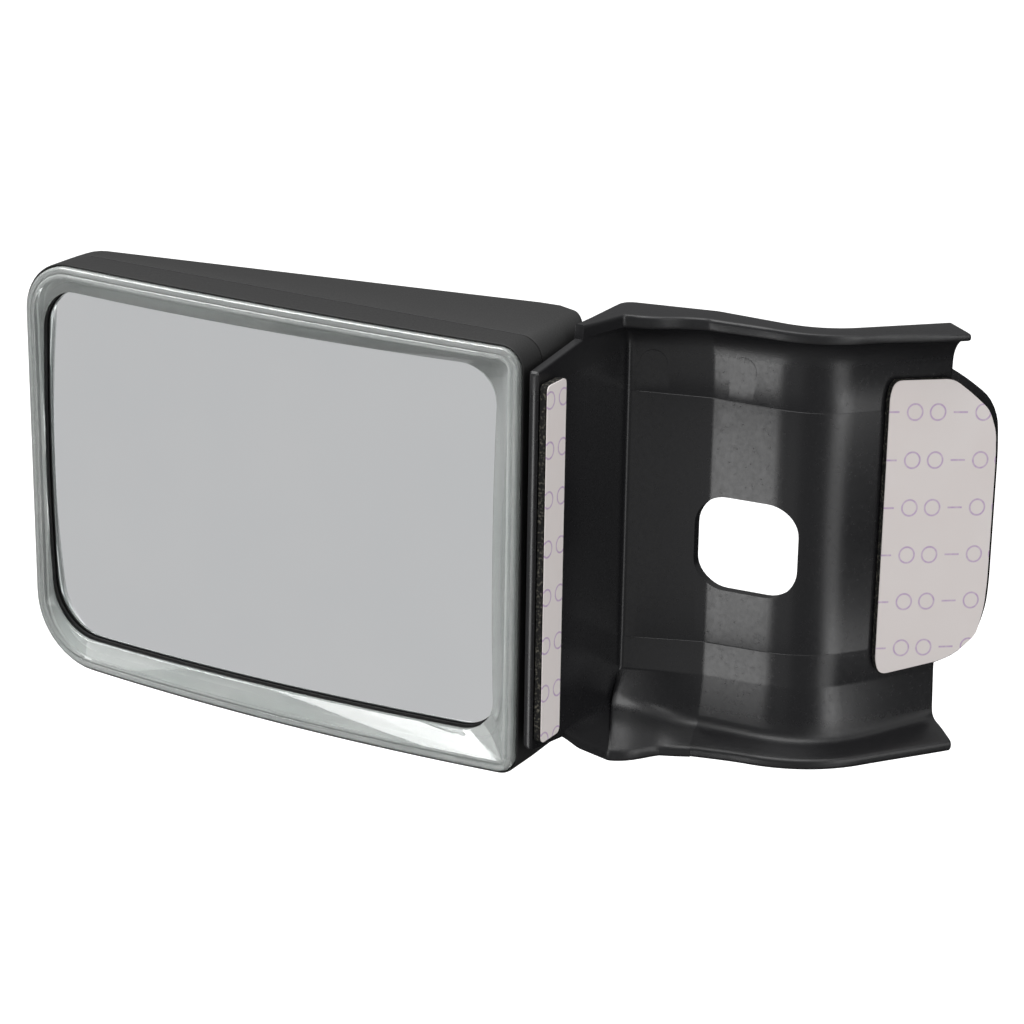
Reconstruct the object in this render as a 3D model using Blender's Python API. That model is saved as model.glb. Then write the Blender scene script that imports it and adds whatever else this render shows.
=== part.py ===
"""Vehicle assist mirror: a convex mirror head on a ball joint, carried by a tape-on bracket.

The head is drawn in its own frame: X along the mirror from its outer end towards the bracket,
Y away from the viewer, Z up, with the front rim's corners on the plane Y = 0. Everything is then
moved so that the world origin is the middle of the bracket's left tape, on the liner's face.
"""
import math

import bmesh
import bpy
from mathutils import Matrix, Vector

MM = 0.001

# ---- fits ----
GAP = 0.3 * MM                  # clearance between touching pieces
GLUE = 0.25 * MM                # glue line under a tape or a foam

# ---- mirror head ----
HEAD_W = 148.8 * MM             # clear rim, outside
HEAD_H = 110.0 * MM
CORNERS = (14.0 * MM, 5.5 * MM, 4.5 * MM, 18.0 * MM)    # upper left, upper right, lower right, lower left
FACE_BOW = 2.3 * MM             # how far the middle of the face stands in front of its ends
EDGE_BOW = 1.2 * MM             # how far the lower edge hangs below a straight line
MIRROR_R = 600.0 * MM           # radius of curvature of the convex glass
GLASS_T = 2.0 * MM
GLASS_DEPTH = 0.8 * MM          # depth of the glass's crown behind the plane Y = 0
GLASS_TILT = 0.0296             # slope of the glass, deeper towards the bracket
GLASS_MARGIN = (3.2 * MM, 6.8 * MM, 5.0 * MM, 5.0 * MM)     # outline to glass: left, right, below, above
GLASS_CORNERS = (11.5 * MM, 9.5 * MM, 9.0 * MM, 15.0 * MM)

# ---- clear rim ----
RIM_BAND = 2.9 * MM             # width of the flat front band
RIM_SKIRT_T = 1.8 * MM
LEDGE_RISE = 4.936 * MM         # the rim's skirt ends this far in front of the glass's deep corner
RIM_LIP_T = 1.0 * MM            # thickness of the sloping inner lip
WINDOW_MARGIN = (3.6 * MM, 9.2 * MM, 6.4 * MM, 7.2 * MM)   # outline to window: left, right, below, above
WINDOW_R = (11.0 * MM, 10.0 * MM, 9.5 * MM, 14.0 * MM)
REVEAL = 2.1 * MM               # glass behind the inner edge of the lip

# ---- seal and foam behind the glass ----
SEAL_T = 0.5 * MM
SEAL_EDGE_T = 0.8 * MM
FOAM_T = 1.0 * MM

# ---- housing ----
FRAME_PROUD = 0.7 * MM          # frame outside the clear rim
FRAME_FRONT = 1.1 * MM          # frame's front edge behind the rim's face
FLOOR_T = 2.0 * MM
SPIGOT_H = 1.2 * MM             # locating rim of the frame inside the shell
SPIGOT_T = 1.5 * MM
PARTING_Y = 10.2 * MM
SHELL_WALL = 2.2 * MM
SHELL_BACK_L = 16.6 * MM        # depth of the shell's back at the outer end
SHELL_BACK_R = 44.0 * MM        # and at the bracket end
SHELL_DRAFT = 0.02              # taper of the shell's sides towards the back
SHELL_EDGE = 2.6 * MM           # rounding of the back edge
SHELL_EDGE_R = 14.0 * MM        # and, in plan, of the deep corner beside the bracket

# ---- bracket ----
SIDE_GAP = 1.7 * MM             # between the frame's side and the bracket's left wall
WALL = 2.5 * MM
WALL_FRONT_Y = 0.5 * MM
CORNER_Y = 45.8 * MM            # inner corner between left wall and back wall
RUN_1 = 21.5 * MM               # back wall: first run, second run, bend, then the tape flange
HEAD_1 = math.radians(19.0)
RUN_2 = 17.0 * MM
HEAD_2 = math.radians(5.0)
BEND_R = 25.0 * MM
FLANGE_ANGLE = math.radians(51.0)
WALL_END = 26.5 * MM            # wall end, measured along the flange from the bend
FLANGE_OUTLINE = (              # free end of the flange: along it from the bend, and height
    (25.5, 42.4), (31.4, 38.4), (37.7, 33.3), (40.4, 27.6), (41.0, 18.0),
    (41.0, -16.0), (40.6, -23.0), (38.1, -31.0), (32.3, -35.8), (25.5, -37.6))
FLANGE_SINK = 0.1 * MM          # the free end is this much thinner on each face
TOP_FRONT_Z = 50.2 * MM         # top of the left wall at its front edge
TOP_STEP_Z = 53.1 * MM          # and where the roof starts; also the roof's lower front edge
ROOF_Z = 56.5 * MM
ROOF_ROOT_Z = 46.2 * MM
CREASE_TOP_Z = 34.0 * MM
CREASE_LOW_Z = -32.3 * MM
LEDGE_Z = -41.0 * MM
BOTTOM_FRONT_Z = -47.6 * MM     # bottom of the left wall at its front edge
BOTTOM_STEP_Z = -49.8 * MM      # and where the skirt starts
SKIRT_RIM_Z = -57.0 * MM        # upper edge of the skirt's rim
RIM_T = 2.6 * MM
ROOF_START_Y = 22.9 * MM
SKIRT_START_Y = 16.7 * MM
ROOF_CORNER = (3.6 * MM, -9.3 * MM)
SKIRT_CORNER = (6.6 * MM, -17.0 * MM)
FOLD_CORNER = (6.0 * MM, -48.0 * MM)    # fold between wall and skirt at the corner: forward, height
END_DROP = 1.8 * MM             # roof and skirt come closer together towards the flange
TOP_TAPER = 1.8                 # the roof's top drops this much more than its front edge
EDGE_R = 0.8 * MM
WINDOW_HOLE = (27.0 * MM, 25.0 * MM, 8.0 * MM)          # hole in the back wall: width, height, corner
HOLE_X = 30.7 * MM               # hole's middle, from the inner corner
HOLE_Z = -4.4 * MM

# ---- tapes ----
TAPE_FOAM_T = 1.7 * MM
LINER_T = 0.25 * MM
STRIP_Y = (1.3 * MM, 10.3 * MM)
STRIP_Z = (-45.3 * MM, 47.1 * MM)
PAD_OUTLINE = (                 # along the flange from the bend, and height
    (9.4, 41.0), (25.6, 39.9), (30.6, 36.0), (36.2, 30.9), (38.4, 25.0), (38.8, 18.0),
    (38.8, -15.0), (38.4, -22.0), (36.6, -29.8), (31.0, -34.0), (26.6, -35.6), (9.6, -37.3),
    (8.4, -36.0), (8.1, -34.0), (8.1, 37.4), (8.4, 40.0))

# ---- ball joint ----
BALL_IN = 9.4 * MM              # ball's centre in from the rim's side
BALL_R = 5.0 * MM
NECK_R = 2.8 * MM
LINER_SHELL_T = 0.8 * MM
JAW_REACH = (9.5 * MM, 6.0 * MM)    # jaws beyond the ball's centre, away from and towards the bracket
JAW_HALF_Z = 12.5 * MM
JAW_SKIN = 1.2 * MM             # jaw left in front of and behind the ball
JAW_SCREW_Z = 9.6 * MM
MOUTH_R = 5.3 * MM

# ---- screws ----
SCREW_R = 1.25 * MM
SCREW_HEAD_R = 2.5 * MM
SCREW_HEAD_T = 1.6 * MM
SEAT_T = 2.0 * MM
HOUSING_SCREW_IN = (            # in from the rim's side, and from its upper or lower edge
    (14.4 * MM, 14.0 * MM), (16.4 * MM, 13.0 * MM), (16.4 * MM, 12.0 * MM), (16.4 * MM, 16.0 * MM))
SLOT_REACH = 1.4 * MM           # cross recess: half its length, half its width, its depth
SLOT_HALF_T = 0.3 * MM
SLOT_D = 0.8 * MM
BOSS_WALL = 2.2 * MM            # wall of a screw tube outside the screw's head
POST_WALL = 1.0 * MM
JAW_SCREW_GRIP = 8.0 * MM       # thread of a jaw screw in the shell's pad
JAW_HEAD_SINK = 2.0 * MM

WALL_OUT_X = HEAD_W / 2 + FRAME_PROUD + SIDE_GAP
WALL_IN_X = WALL_OUT_X + WALL
STRIP_FACE_X = WALL_IN_X + GLUE + TAPE_FOAM_T + GLUE + LINER_T
DATUM = Vector((STRIP_FACE_X, sum(STRIP_Y) / 2, sum(STRIP_Z) / 2))
FOAM_FRONT = GLASS_T + GLUE
FLOOR_FRONT = FOAM_FRONT + FOAM_T + GLUE
FLOOR_BACK = FLOOR_FRONT + FLOOR_T
POCKET_R = BALL_R + GAP + LINER_SHELL_T + GAP


def glass_y(x, z):
    """Front surface of the convex glass."""
    return GLASS_DEPTH + GLASS_TILT * x + (x * x + z * z) / (2 * MIRROR_R)


RIM_SKIRT_D = glass_y(HEAD_W / 2, HEAD_H / 2) - LEDGE_RISE
BALL_X = HEAD_W / 2 - BALL_IN
JAW_X = (BALL_X - JAW_REACH[0], BALL_X + JAW_REACH[1])
JAW_FRONT = glass_y(JAW_X[1], JAW_HALF_Z) + FLOOR_BACK + 2 * GAP
BALL = Vector((BALL_X, JAW_FRONT + JAW_SKIN + POCKET_R, 0.0))
JAW_BACK = BALL.y + POCKET_R + JAW_SKIN

for old in list(bpy.data.objects):
    bpy.data.objects.remove(old, do_unlink=True)

parts = bpy.data.collections.new("assist_mirror")
bpy.context.scene.collection.children.link(parts)
cutters = bpy.data.collections.new("cutters")
bpy.context.scene.collection.children.link(cutters)


# ---- materials ----
def linear(value):
    """One sRGB channel, 0 to 1, as linear light."""
    if value <= 0.04045:
        return value / 12.92
    return ((value + 0.055) / 1.055) ** 2.4


def finish(name, hex_colour, roughness, metallic=0.0):
    material = bpy.data.materials.new(name)
    material.use_nodes = True
    shader = material.node_tree.nodes["Principled BSDF"]
    channels = [int(hex_colour[i:i + 2], 16) / 255 for i in (0, 2, 4)]
    shader.inputs["Base Color"].default_value = [linear(c) for c in channels] + [1.0]
    shader.inputs["Roughness"].default_value = roughness
    shader.inputs["Metallic"].default_value = metallic
    return material


BLACK_MATT = finish("moulded_abs_matt", "252525", 0.55)
BLACK_SATIN = finish("moulded_abs_satin", "1c1c1d", 0.35)
CLEAR = finish("clear_pmma", "c3ccca", 0.08)
MIRROR = finish("silvered_glass", "d8dadb", 0.02, 1.0)
SEAL = finish("seal_rubber", "101010", 0.7)
FOAM = finish("black_foam", "161616", 0.9)
RELEASE = finish("release_liner", "d8cdca", 0.45)
ACETAL = finish("white_acetal", "dcdcd6", 0.4)
STEEL = finish("plated_steel", "a9adb0", 0.3, 1.0)


# ---- building helpers ----
def holder(name, point):
    """An empty at a joint's centre, in world coordinates."""
    empty = bpy.data.objects.new(name, None)
    empty.location = point - DATUM
    parts.objects.link(empty)
    return empty


liner_pivot = holder("liner_pivot", BALL)
head_pivot = holder("head_pivot", BALL)


def add_part(name, bm, material, pivot=None):
    """A mesh drawn in the head's frame becomes an object, under a joint's empty if it moves."""
    mesh = bpy.data.meshes.new(name)
    bm.to_mesh(mesh)
    bm.free()
    mesh.materials.append(material)
    obj = bpy.data.objects.new(name, mesh)
    parts.objects.link(obj)
    if pivot:
        obj.parent = pivot
        obj.location = -BALL
    else:
        obj.location = -DATUM
    mesh.shade_smooth()
    mesh.set_sharp_from_angle(angle=math.radians(35))
    return obj


def add_cutter(name, bm, target):
    """A cutter follows its target's parent and place."""
    mesh = bpy.data.meshes.new(name)
    bm.to_mesh(mesh)
    bm.free()
    obj = bpy.data.objects.new(name, mesh)
    cutters.objects.link(obj)
    obj.parent = target.parent
    obj.location = target.location
    obj.hide_render = True
    obj.display_type = "WIRE"
    return obj


def boolean(target, bm, operation, name):
    cutter = add_cutter(name, bm, target)
    modifier = target.modifiers.new(name, "BOOLEAN")
    modifier.operation = operation
    modifier.solver = "EXACT"
    modifier.object = cutter
    return modifier


def box(low, high):
    bm = bmesh.new()
    bmesh.ops.create_cube(bm, size=1.0)
    size = Vector(high) - Vector(low)
    bmesh.ops.scale(bm, vec=size, verts=bm.verts)
    bmesh.ops.translate(bm, vec=(Vector(low) + Vector(high)) / 2, verts=bm.verts)
    return bm


def cylinder(start, end, radius, end_radius=None, sides=20):
    """A round bar or cone between two points."""
    start = Vector(start)
    end = Vector(end)
    bm = bmesh.new()
    length = (end - start).length
    second = radius if end_radius is None else end_radius
    bmesh.ops.create_cone(bm, cap_ends=True, segments=sides, radius1=radius, radius2=second, depth=length)
    turn = Vector((0, 0, 1)).rotation_difference(end - start).to_matrix().to_4x4()
    bmesh.ops.transform(bm, matrix=Matrix.Translation((start + end) / 2) @ turn, verts=bm.verts)
    return bm


def sphere(centre, radius, segments=24, rings=14):
    bm = bmesh.new()
    bmesh.ops.create_uvsphere(bm, u_segments=segments, v_segments=rings, radius=radius)
    # poles on the neck's axis
    bmesh.ops.rotate(bm, cent=(0, 0, 0), matrix=Matrix.Rotation(math.pi / 2, 3, "Y"), verts=bm.verts)
    bmesh.ops.translate(bm, vec=centre, verts=bm.verts)
    return bm


def bridge(loops, closed=False, cap_first=False, cap_last=False):
    """Skin a row of loops of equal length, for a ring or a bowl between unlike outlines."""
    bm = bmesh.new()
    rows = [[bm.verts.new(point) for point in loop] for loop in loops]
    count = len(rows[0])
    pairs = list(zip(rows, rows[1:]))
    if closed:
        pairs.append((rows[-1], rows[0]))
    for one, two in pairs:
        for i in range(count):
            j = (i + 1) % count
            bm.faces.new((one[i], one[j], two[j], two[i]))
    caps = []
    if cap_first:
        caps.append(bm.faces.new(list(reversed(rows[0]))))
    if cap_last:
        caps.append(bm.faces.new(rows[-1]))
    bmesh.ops.poke(bm, faces=caps)
    bmesh.ops.triangulate(bm, faces=bm.faces)
    bmesh.ops.recalc_face_normals(bm, faces=bm.faces)
    return bm


def rounded_outline(left, right, bottom, top, radii, side_steps=6, arc_steps=4):
    """Clockwise from the upper left, seen from the front: points (x, z) of a rounded rectangle."""
    corners = (((left, top), (1, -1), math.pi), ((right, top), (-1, -1), math.pi / 2),
               ((right, bottom), (-1, 1), 0.0), ((left, bottom), (1, 1), -math.pi / 2))
    arcs = []
    for (corner, inward, start), radius in zip(corners, radii):
        centre_x = corner[0] + inward[0] * radius
        centre_z = corner[1] + inward[1] * radius
        arc = []
        for k in range(arc_steps + 1):
            angle = start - math.pi / 2 * k / arc_steps
            arc.append((centre_x + radius * math.cos(angle), centre_z + radius * math.sin(angle)))
        arcs.append(arc)
    points = []
    for index, arc in enumerate(arcs):
        points += arc
        after = arcs[(index + 1) % 4][0]
        for k in range(1, side_steps):
            t = k / side_steps
            along_x = arc[-1][0] + (after[0] - arc[-1][0]) * t
            along_z = arc[-1][1] + (after[1] - arc[-1][1]) * t
            points.append((along_x, along_z))
    return points


def head_outline(inset):
    """The head's outline, moved inwards, with the lower edge's slight sag."""
    radii = [max(r - inset, 0.6 * MM) for r in CORNERS]
    half_w = HEAD_W / 2 - inset
    half_h = HEAD_H / 2 - inset
    points = rounded_outline(-half_w, half_w, -half_h, half_h, radii)
    sagged = []
    for x, z in points:
        sag = EDGE_BOW * (1 - (2 * x / HEAD_W) ** 2) if z < 0 else 0.0
        sagged.append((x, z + sag * z / half_h))
    return sagged


def window_outline(inset=0.0):
    radii = [r - inset for r in WINDOW_R]
    left, right, below, above = [margin + inset for margin in WINDOW_MARGIN]
    return rounded_outline(-HEAD_W / 2 + left, HEAD_W / 2 - right, -HEAD_H / 2 + below,
                           HEAD_H / 2 - above, radii)


def glass_outline(outset):
    radii = [r + outset for r in GLASS_CORNERS]
    left, right, below, above = [margin - outset for margin in GLASS_MARGIN]
    return rounded_outline(-HEAD_W / 2 + left, HEAD_W / 2 - right, -HEAD_H / 2 + below,
                           HEAD_H / 2 - above, radii)


def face_y(x):
    """Front surface of the rim: bowed forward in the middle."""
    return -FACE_BOW * (1 - (2 * x / HEAD_W) ** 2)


def at_face(outline, depth):
    return [Vector((x, face_y(x) + depth, z)) for x, z in outline]


def at_glass(outline, depth):
    return [Vector((x, glass_y(x, z) + depth, z)) for x, z in outline]


def at_plane(outline, depth):
    return [Vector((x, depth, z)) for x, z in outline]


def back_y(x):
    """Outer back of the wedge-shaped rear shell."""
    return SHELL_BACK_L + (SHELL_BACK_R - SHELL_BACK_L) * (x + HEAD_W / 2) / HEAD_W


# ---- clear rim: flat band, sloping lip down to the glass, skirt inside the frame ----
band = head_outline(RIM_BAND)
lip_edge = window_outline()
skirt_in = head_outline(RIM_SKIRT_T)
rim_loops = [
    at_plane(head_outline(0.0), RIM_SKIRT_D),
    at_face(head_outline(0.0), 0.9 * MM),
    at_face(head_outline(0.25 * MM), 0.3 * MM),
    at_face(head_outline(0.9 * MM), 0.0),
    at_face(band, 0.0),
    at_glass(lip_edge, -REVEAL),
    at_glass(lip_edge, -REVEAL + RIM_LIP_T),
    at_face(band, RIM_SKIRT_T),
    at_face(skirt_in, RIM_SKIRT_T + 0.1 * MM),
    at_plane(skirt_in, RIM_SKIRT_D),
]
add_part("clear_rim", bridge(rim_loops, closed=True), CLEAR, head_pivot)

# ---- seal: L-section rubber around the glass ----
seal_out = glass_outline(GAP + SEAL_EDGE_T)
seal_in = glass_outline(GAP)
seal_lip = window_outline(-0.2 * MM)
seal_front = -GAP - SEAL_T
seal_loops = [
    at_glass(seal_out, seal_front),
    at_glass(seal_lip, seal_front),
    at_glass(seal_lip, -GAP),
    at_glass(seal_in, -GAP),
    at_glass(seal_in, GLASS_T),
    at_glass(seal_out, GLASS_T),
]
add_part("mirror_seal", bridge(seal_loops, closed=True), SEAL, head_pivot)


# ---- glass and foam: curved sheets under one outline ----
def curved_sheet(outset, front, back):
    """A sheet that follows the glass, built from shrinking rings so that its faces are curved."""
    outline = glass_outline(outset)
    rings = (1.0, 0.75, 0.5, 0.25)
    fronts = [at_glass([(x * k, z * k) for x, z in outline], front) for k in reversed(rings)]
    backs = [at_glass([(x * k, z * k) for x, z in outline], back) for k in rings]
    return bridge(fronts + backs, cap_first=True, cap_last=True)


add_part("mirror_glass", curved_sheet(0.0, 0.0, GLASS_T), MIRROR, head_pivot)
foam_sheet = curved_sheet(-2.0 * MM, FOAM_FRONT, FOAM_FRONT + FOAM_T)
add_part("mirror_foam", foam_sheet, FOAM, head_pivot)

# ---- front frame: a wall around the rim, a pocket for glass and seal, a floor, a locating rim ----
frame_out = head_outline(-FRAME_PROUD)
frame_in = head_outline(-GAP)
pocket = glass_outline(SEAL_EDGE_T + 2 * GAP)
spigot_out = head_outline(SHELL_WALL - FRAME_PROUD + 2 * GAP)
spigot_in = head_outline(SHELL_WALL - FRAME_PROUD + 2 * GAP + SPIGOT_T)
floor_edge = head_outline(SHELL_WALL - FRAME_PROUD + 3 * GAP + SPIGOT_T)
ledge_y = RIM_SKIRT_D + GAP


def shrunk(outline, scale):
    return [(x * scale, z * scale) for x, z in outline]


def spigot_end(outline):
    """End of the locating rim, which also clears the back of the floor."""
    loop = []
    for x, z in outline:
        floor_back = glass_y(x, z) + FLOOR_BACK + 0.1 * MM
        loop.append(Vector((x, max(floor_back, PARTING_Y + SPIGOT_H), z)))
    return loop


frame_loops = [at_glass(shrunk(floor_edge, k), FLOOR_BACK) for k in (0.3, 0.65, 1.0)]
frame_loops += [
    spigot_end(spigot_in),
    spigot_end(spigot_out),
    at_plane(spigot_out, PARTING_Y),
    at_plane(frame_out, PARTING_Y),
    at_face(frame_out, FRAME_FRONT + 0.5 * MM),
    at_face(head_outline(-FRAME_PROUD + 0.2 * MM), FRAME_FRONT),
    at_face(frame_in, FRAME_FRONT),
    at_plane(frame_in, ledge_y),
    at_plane(pocket, ledge_y),
]
frame_loops += [at_glass(shrunk(pocket, k), FLOOR_FRONT) for k in (1.0, 0.65, 0.3)]
frame_bm = bridge(frame_loops, cap_first=True, cap_last=True)
front_frame = add_part("front_frame", frame_bm, BLACK_MATT, head_pivot)

# ---- rear shell: wedge with rounded back edge ----
shell_y = PARTING_Y + GAP


def plan_back(x, wall):
    """Back of the shell a wall's thickness in, with the deep corner rounded in plan."""
    round_x = HEAD_W / 2 + FRAME_PROUD - SHELL_EDGE_R
    if x <= round_x:
        return back_y(x) - wall
    radius = SHELL_EDGE_R - wall
    aside = min(x - round_x, radius)
    return back_y(round_x) - SHELL_EDGE_R + math.sqrt(radius * radius - aside * aside)


def shell_loop(wall, turn):
    """A loop round the tapered side, a wall's thickness in, at one angle of the back edge's round."""
    edge = max(SHELL_EDGE - wall, 0.4 * MM)
    loop = []
    for x, z in head_outline(wall - FRAME_PROUD + edge * (1 - math.cos(turn))):
        y = max(plan_back(x, wall) - edge * (1 - math.sin(turn)), shell_y + 0.5 * MM)
        shrink = SHELL_DRAFT * (y - shell_y)
        loop.append(Vector((x * (1 - 2 * shrink / HEAD_W), y, z * (1 - 2 * shrink / HEAD_H))))
    return loop


def back_loop(wall, inset, scale=1.0):
    """A loop on the back face, moved in from the outline."""
    points = [(x * scale, z * scale) for x, z in head_outline(inset)]
    return [Vector((x, plan_back(x, wall), z)) for x, z in points]


shell_loops = [at_plane(head_outline(-FRAME_PROUD), shell_y)]
shell_loops += [shell_loop(0.0, math.pi / 2 * k / 3) for k in range(4)]
shell_loops += [back_loop(0.0, inset) for inset in (4.2 * MM, 6.6 * MM, 9.6 * MM)]
shell_loops += [back_loop(0.0, 9.6 * MM, 0.5)]
inner_loops = [back_loop(SHELL_WALL, 9.6 * MM, 0.5)]
inner_loops += [back_loop(SHELL_WALL, inset) for inset in (9.6 * MM, 6.6 * MM, 4.6 * MM)]
inner_loops += [shell_loop(SHELL_WALL, math.pi / 2 * k / 2) for k in (1, 0)]
inner_loops += [at_plane(head_outline(SHELL_WALL - FRAME_PROUD), shell_y)]
bowl = bmesh.new()
rows = [[bowl.verts.new(point) for point in loop] for loop in shell_loops + inner_loops]
cut = len(shell_loops)
outer_pairs = list(zip(rows[:cut], rows[1:cut]))
inner_pairs = list(zip(rows[cut:], rows[cut + 1:]))
for first, second in outer_pairs + inner_pairs + [(rows[-1], rows[0])]:
    for i in range(len(first)):
        j = (i + 1) % len(first)
        bowl.faces.new((first[i], first[j], second[j], second[i]))
bowl.faces.new(rows[cut - 1])
bowl.faces.new(list(reversed(rows[cut])))
bmesh.ops.recalc_face_normals(bowl, faces=bowl.faces)
rear_shell = add_part("rear_shell", bowl, BLACK_MATT, head_pivot)


def screw(name, x, z, head_y, length, pivot):
    """Pan-head screw along Y, its head towards +Y when length is negative."""
    sign = 1 if length > 0 else -1
    bm = cylinder((x, head_y, z), (x, head_y + length, z), SCREW_R, sides=12)
    obj = add_part(name, bm, STEEL, pivot)
    head = cylinder((x, head_y - sign * SCREW_HEAD_T, z), (x, head_y + sign * 0.2 * MM, z),
                    SCREW_HEAD_R * 0.8, SCREW_HEAD_R, sides=18)
    boolean(obj, head, "UNION", name + "_head")
    slot_out = head_y - sign * (SCREW_HEAD_T + 0.5 * MM)
    slot_in = head_y - sign * SLOT_D
    low_y, high_y = sorted((slot_out, slot_in))
    for axis in (0, 1):
        half = (SLOT_REACH, SLOT_HALF_T) if axis == 0 else (SLOT_HALF_T, SLOT_REACH)
        cross = box((x - half[0], low_y, z - half[1]), (x + half[0], high_y, z + half[1]))
        boolean(obj, cross, "DIFFERENCE", f"{name}_slot_{axis}")
    return obj


# ---- housing screws: driven from the back, through tubes in the shell, into posts on the frame ----
SIDES = ((-1, 1), (1, 1), (1, -1), (-1, -1))
for number, (side, inset) in enumerate(zip(SIDES, HOUSING_SCREW_IN), 1):
    x = side[0] * (HEAD_W / 2 - inset[0])
    z = side[1] * (HEAD_H / 2 - inset[1])
    floor_y = glass_y(x, z) + FLOOR_BACK
    outer_y = back_y(x)
    tube_end = max(floor_y + 4.2 * MM, min(outer_y - 5.6 * MM, floor_y + 8.0 * MM))
    seat_y = tube_end + SEAT_T
    tube = cylinder((x, tube_end, z), (x, outer_y - 0.8 * MM, z), SCREW_HEAD_R + BOSS_WALL)
    boolean(rear_shell, tube, "UNION", f"tube_{number}")
    bore = cylinder((x, seat_y, z), (x, outer_y + 3 * MM, z), SCREW_HEAD_R + 0.6 * MM)
    boolean(rear_shell, bore, "DIFFERENCE", f"counterbore_{number}")
    hole = cylinder((x, tube_end - 2 * MM, z), (x, seat_y + 1 * MM, z), SCREW_R + GAP, sides=12)
    boolean(rear_shell, hole, "DIFFERENCE", f"screw_hole_{number}")
    post = cylinder((x, floor_y - 1.0 * MM, z), (x, tube_end - GAP, z), SCREW_HEAD_R + POST_WALL)
    boolean(front_frame, post, "UNION", f"post_{number}")
    pilot_end = floor_y - 0.6 * MM
    pilot = cylinder((x, pilot_end, z), (x, tube_end + 2 * MM, z), SCREW_R + GAP, sides=12)
    boolean(front_frame, pilot, "DIFFERENCE", f"pilot_{number}")
    under_head = seat_y + GAP
    screw(f"housing_screw_{number}", x, z, under_head, pilot_end + GAP - under_head, head_pivot)

# ---- ball clamp: two jaws, screwed to a pad inside the shell ----
pad = box((JAW_X[0], JAW_BACK + GAP, -JAW_HALF_Z), (JAW_X[1], back_y(JAW_X[0]) - 0.8 * MM, JAW_HALF_Z))
boolean(rear_shell, pad, "UNION", "jaw_pad")
mouth = cylinder((JAW_X[1] - 1.2 * MM, BALL.y, BALL.z), (HEAD_W / 2 + 5 * MM, BALL.y, BALL.z), MOUTH_R)
boolean(rear_shell, mouth, "DIFFERENCE", "mouth")
jaw_screw_x = sum(JAW_X) / 2
JAWS = (("front", JAW_FRONT, BALL.y - GAP / 2), ("back", BALL.y + GAP / 2, JAW_BACK))
for half, low_y, high_y in JAWS:
    block = box((JAW_X[0], low_y, -JAW_HALF_Z), (JAW_X[1], high_y, JAW_HALF_Z))
    jaw = add_part(f"clamp_jaw_{half}", block, BLACK_MATT, head_pivot)
    boolean(jaw, sphere(BALL, POCKET_R), "DIFFERENCE", f"{half}_pocket")
    throat = cylinder((BALL.x, BALL.y, BALL.z), (JAW_X[1] + 1 * MM, BALL.y, BALL.z), NECK_R + 1.9 * MM,
                      NECK_R + 2.1 * MM)
    boolean(jaw, throat, "DIFFERENCE", f"{half}_throat")
    for side in (-1, 1):
        hole = cylinder((jaw_screw_x, low_y - 1 * MM, side * JAW_SCREW_Z),
                        (jaw_screw_x, high_y + 1 * MM, side * JAW_SCREW_Z), SCREW_R + GAP, sides=12)
        boolean(jaw, hole, "DIFFERENCE", f"{half}_hole_{side + 1}")
jaw_screw_end = JAW_BACK + JAW_SCREW_GRIP
front_jaw = bpy.data.objects["clamp_jaw_front"]
for number, side in enumerate((1, -1), 1):
    hole = cylinder((jaw_screw_x, JAW_BACK - 1 * MM, side * JAW_SCREW_Z),
                    (jaw_screw_x, jaw_screw_end, side * JAW_SCREW_Z), SCREW_R + GAP, sides=12)
    boolean(rear_shell, hole, "DIFFERENCE", f"jaw_pilot_{number}")
    recess_y = JAW_FRONT + JAW_HEAD_SINK
    recess = cylinder((jaw_screw_x, JAW_FRONT - 1 * MM, side * JAW_SCREW_Z),
                      (jaw_screw_x, recess_y, side * JAW_SCREW_Z), SCREW_HEAD_R + 0.5 * MM, sides=24)
    boolean(front_jaw, recess, "DIFFERENCE", f"jaw_recess_{number}")
    head_y = recess_y - GAP
    length = jaw_screw_end - GAP - head_y
    screw(f"clamp_screw_{number}", jaw_screw_x, side * JAW_SCREW_Z, head_y, length, head_pivot)

# ---- ball liner: a thin slotted acetal shell that floats between ball and jaws ----
liner = add_part("ball_liner", sphere(BALL, POCKET_R - GAP), ACETAL, liner_pivot)
boolean(liner, sphere(BALL, BALL_R + GAP), "DIFFERENCE", "liner_bore")
liner_mouth = cylinder((BALL.x, BALL.y, BALL.z), (BALL.x + 10 * MM, BALL.y, BALL.z), NECK_R + 1.7 * MM)
boolean(liner, liner_mouth, "DIFFERENCE", "liner_mouth")
slit = box((BALL.x - 10 * MM, BALL.y - 10 * MM, -0.4 * MM), (BALL.x + 10 * MM, BALL.y, 0.4 * MM))
boolean(liner, slit, "DIFFERENCE", "liner_slit")

# ---- bracket: one moulded shell, skinned along the wall's plan and then given its thickness ----
corner = Vector((WALL_IN_X, CORNER_Y))


def heading(angle):
    return Vector((math.cos(angle), math.sin(angle)))


run_1_end = corner + RUN_1 * heading(HEAD_1)
run_2_end = run_1_end + RUN_2 * heading(HEAD_2)
bend_centre = run_2_end + BEND_R * heading(HEAD_2 + math.pi / 2)
bend_end = bend_centre - BEND_R * heading(FLANGE_ANGLE + math.pi / 2)
flange_dir = heading(FLANGE_ANGLE)
flange_normal = Vector((flange_dir.y, -flange_dir.x))


bend_len = BEND_R * (FLANGE_ANGLE - HEAD_2)
bend_s = RUN_1 + RUN_2 + bend_len
end_s = bend_s + WALL_END


def blend(value, table):
    """Smooth value from a short table of (place, value)."""
    for (a, low), (b, high) in zip(table, table[1:]):
        if value <= b:
            t = max(0.0, (value - a) / (b - a))
            return low + (high - low) * t * t * (3 - 2 * t)
    return table[-1][1]


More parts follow.
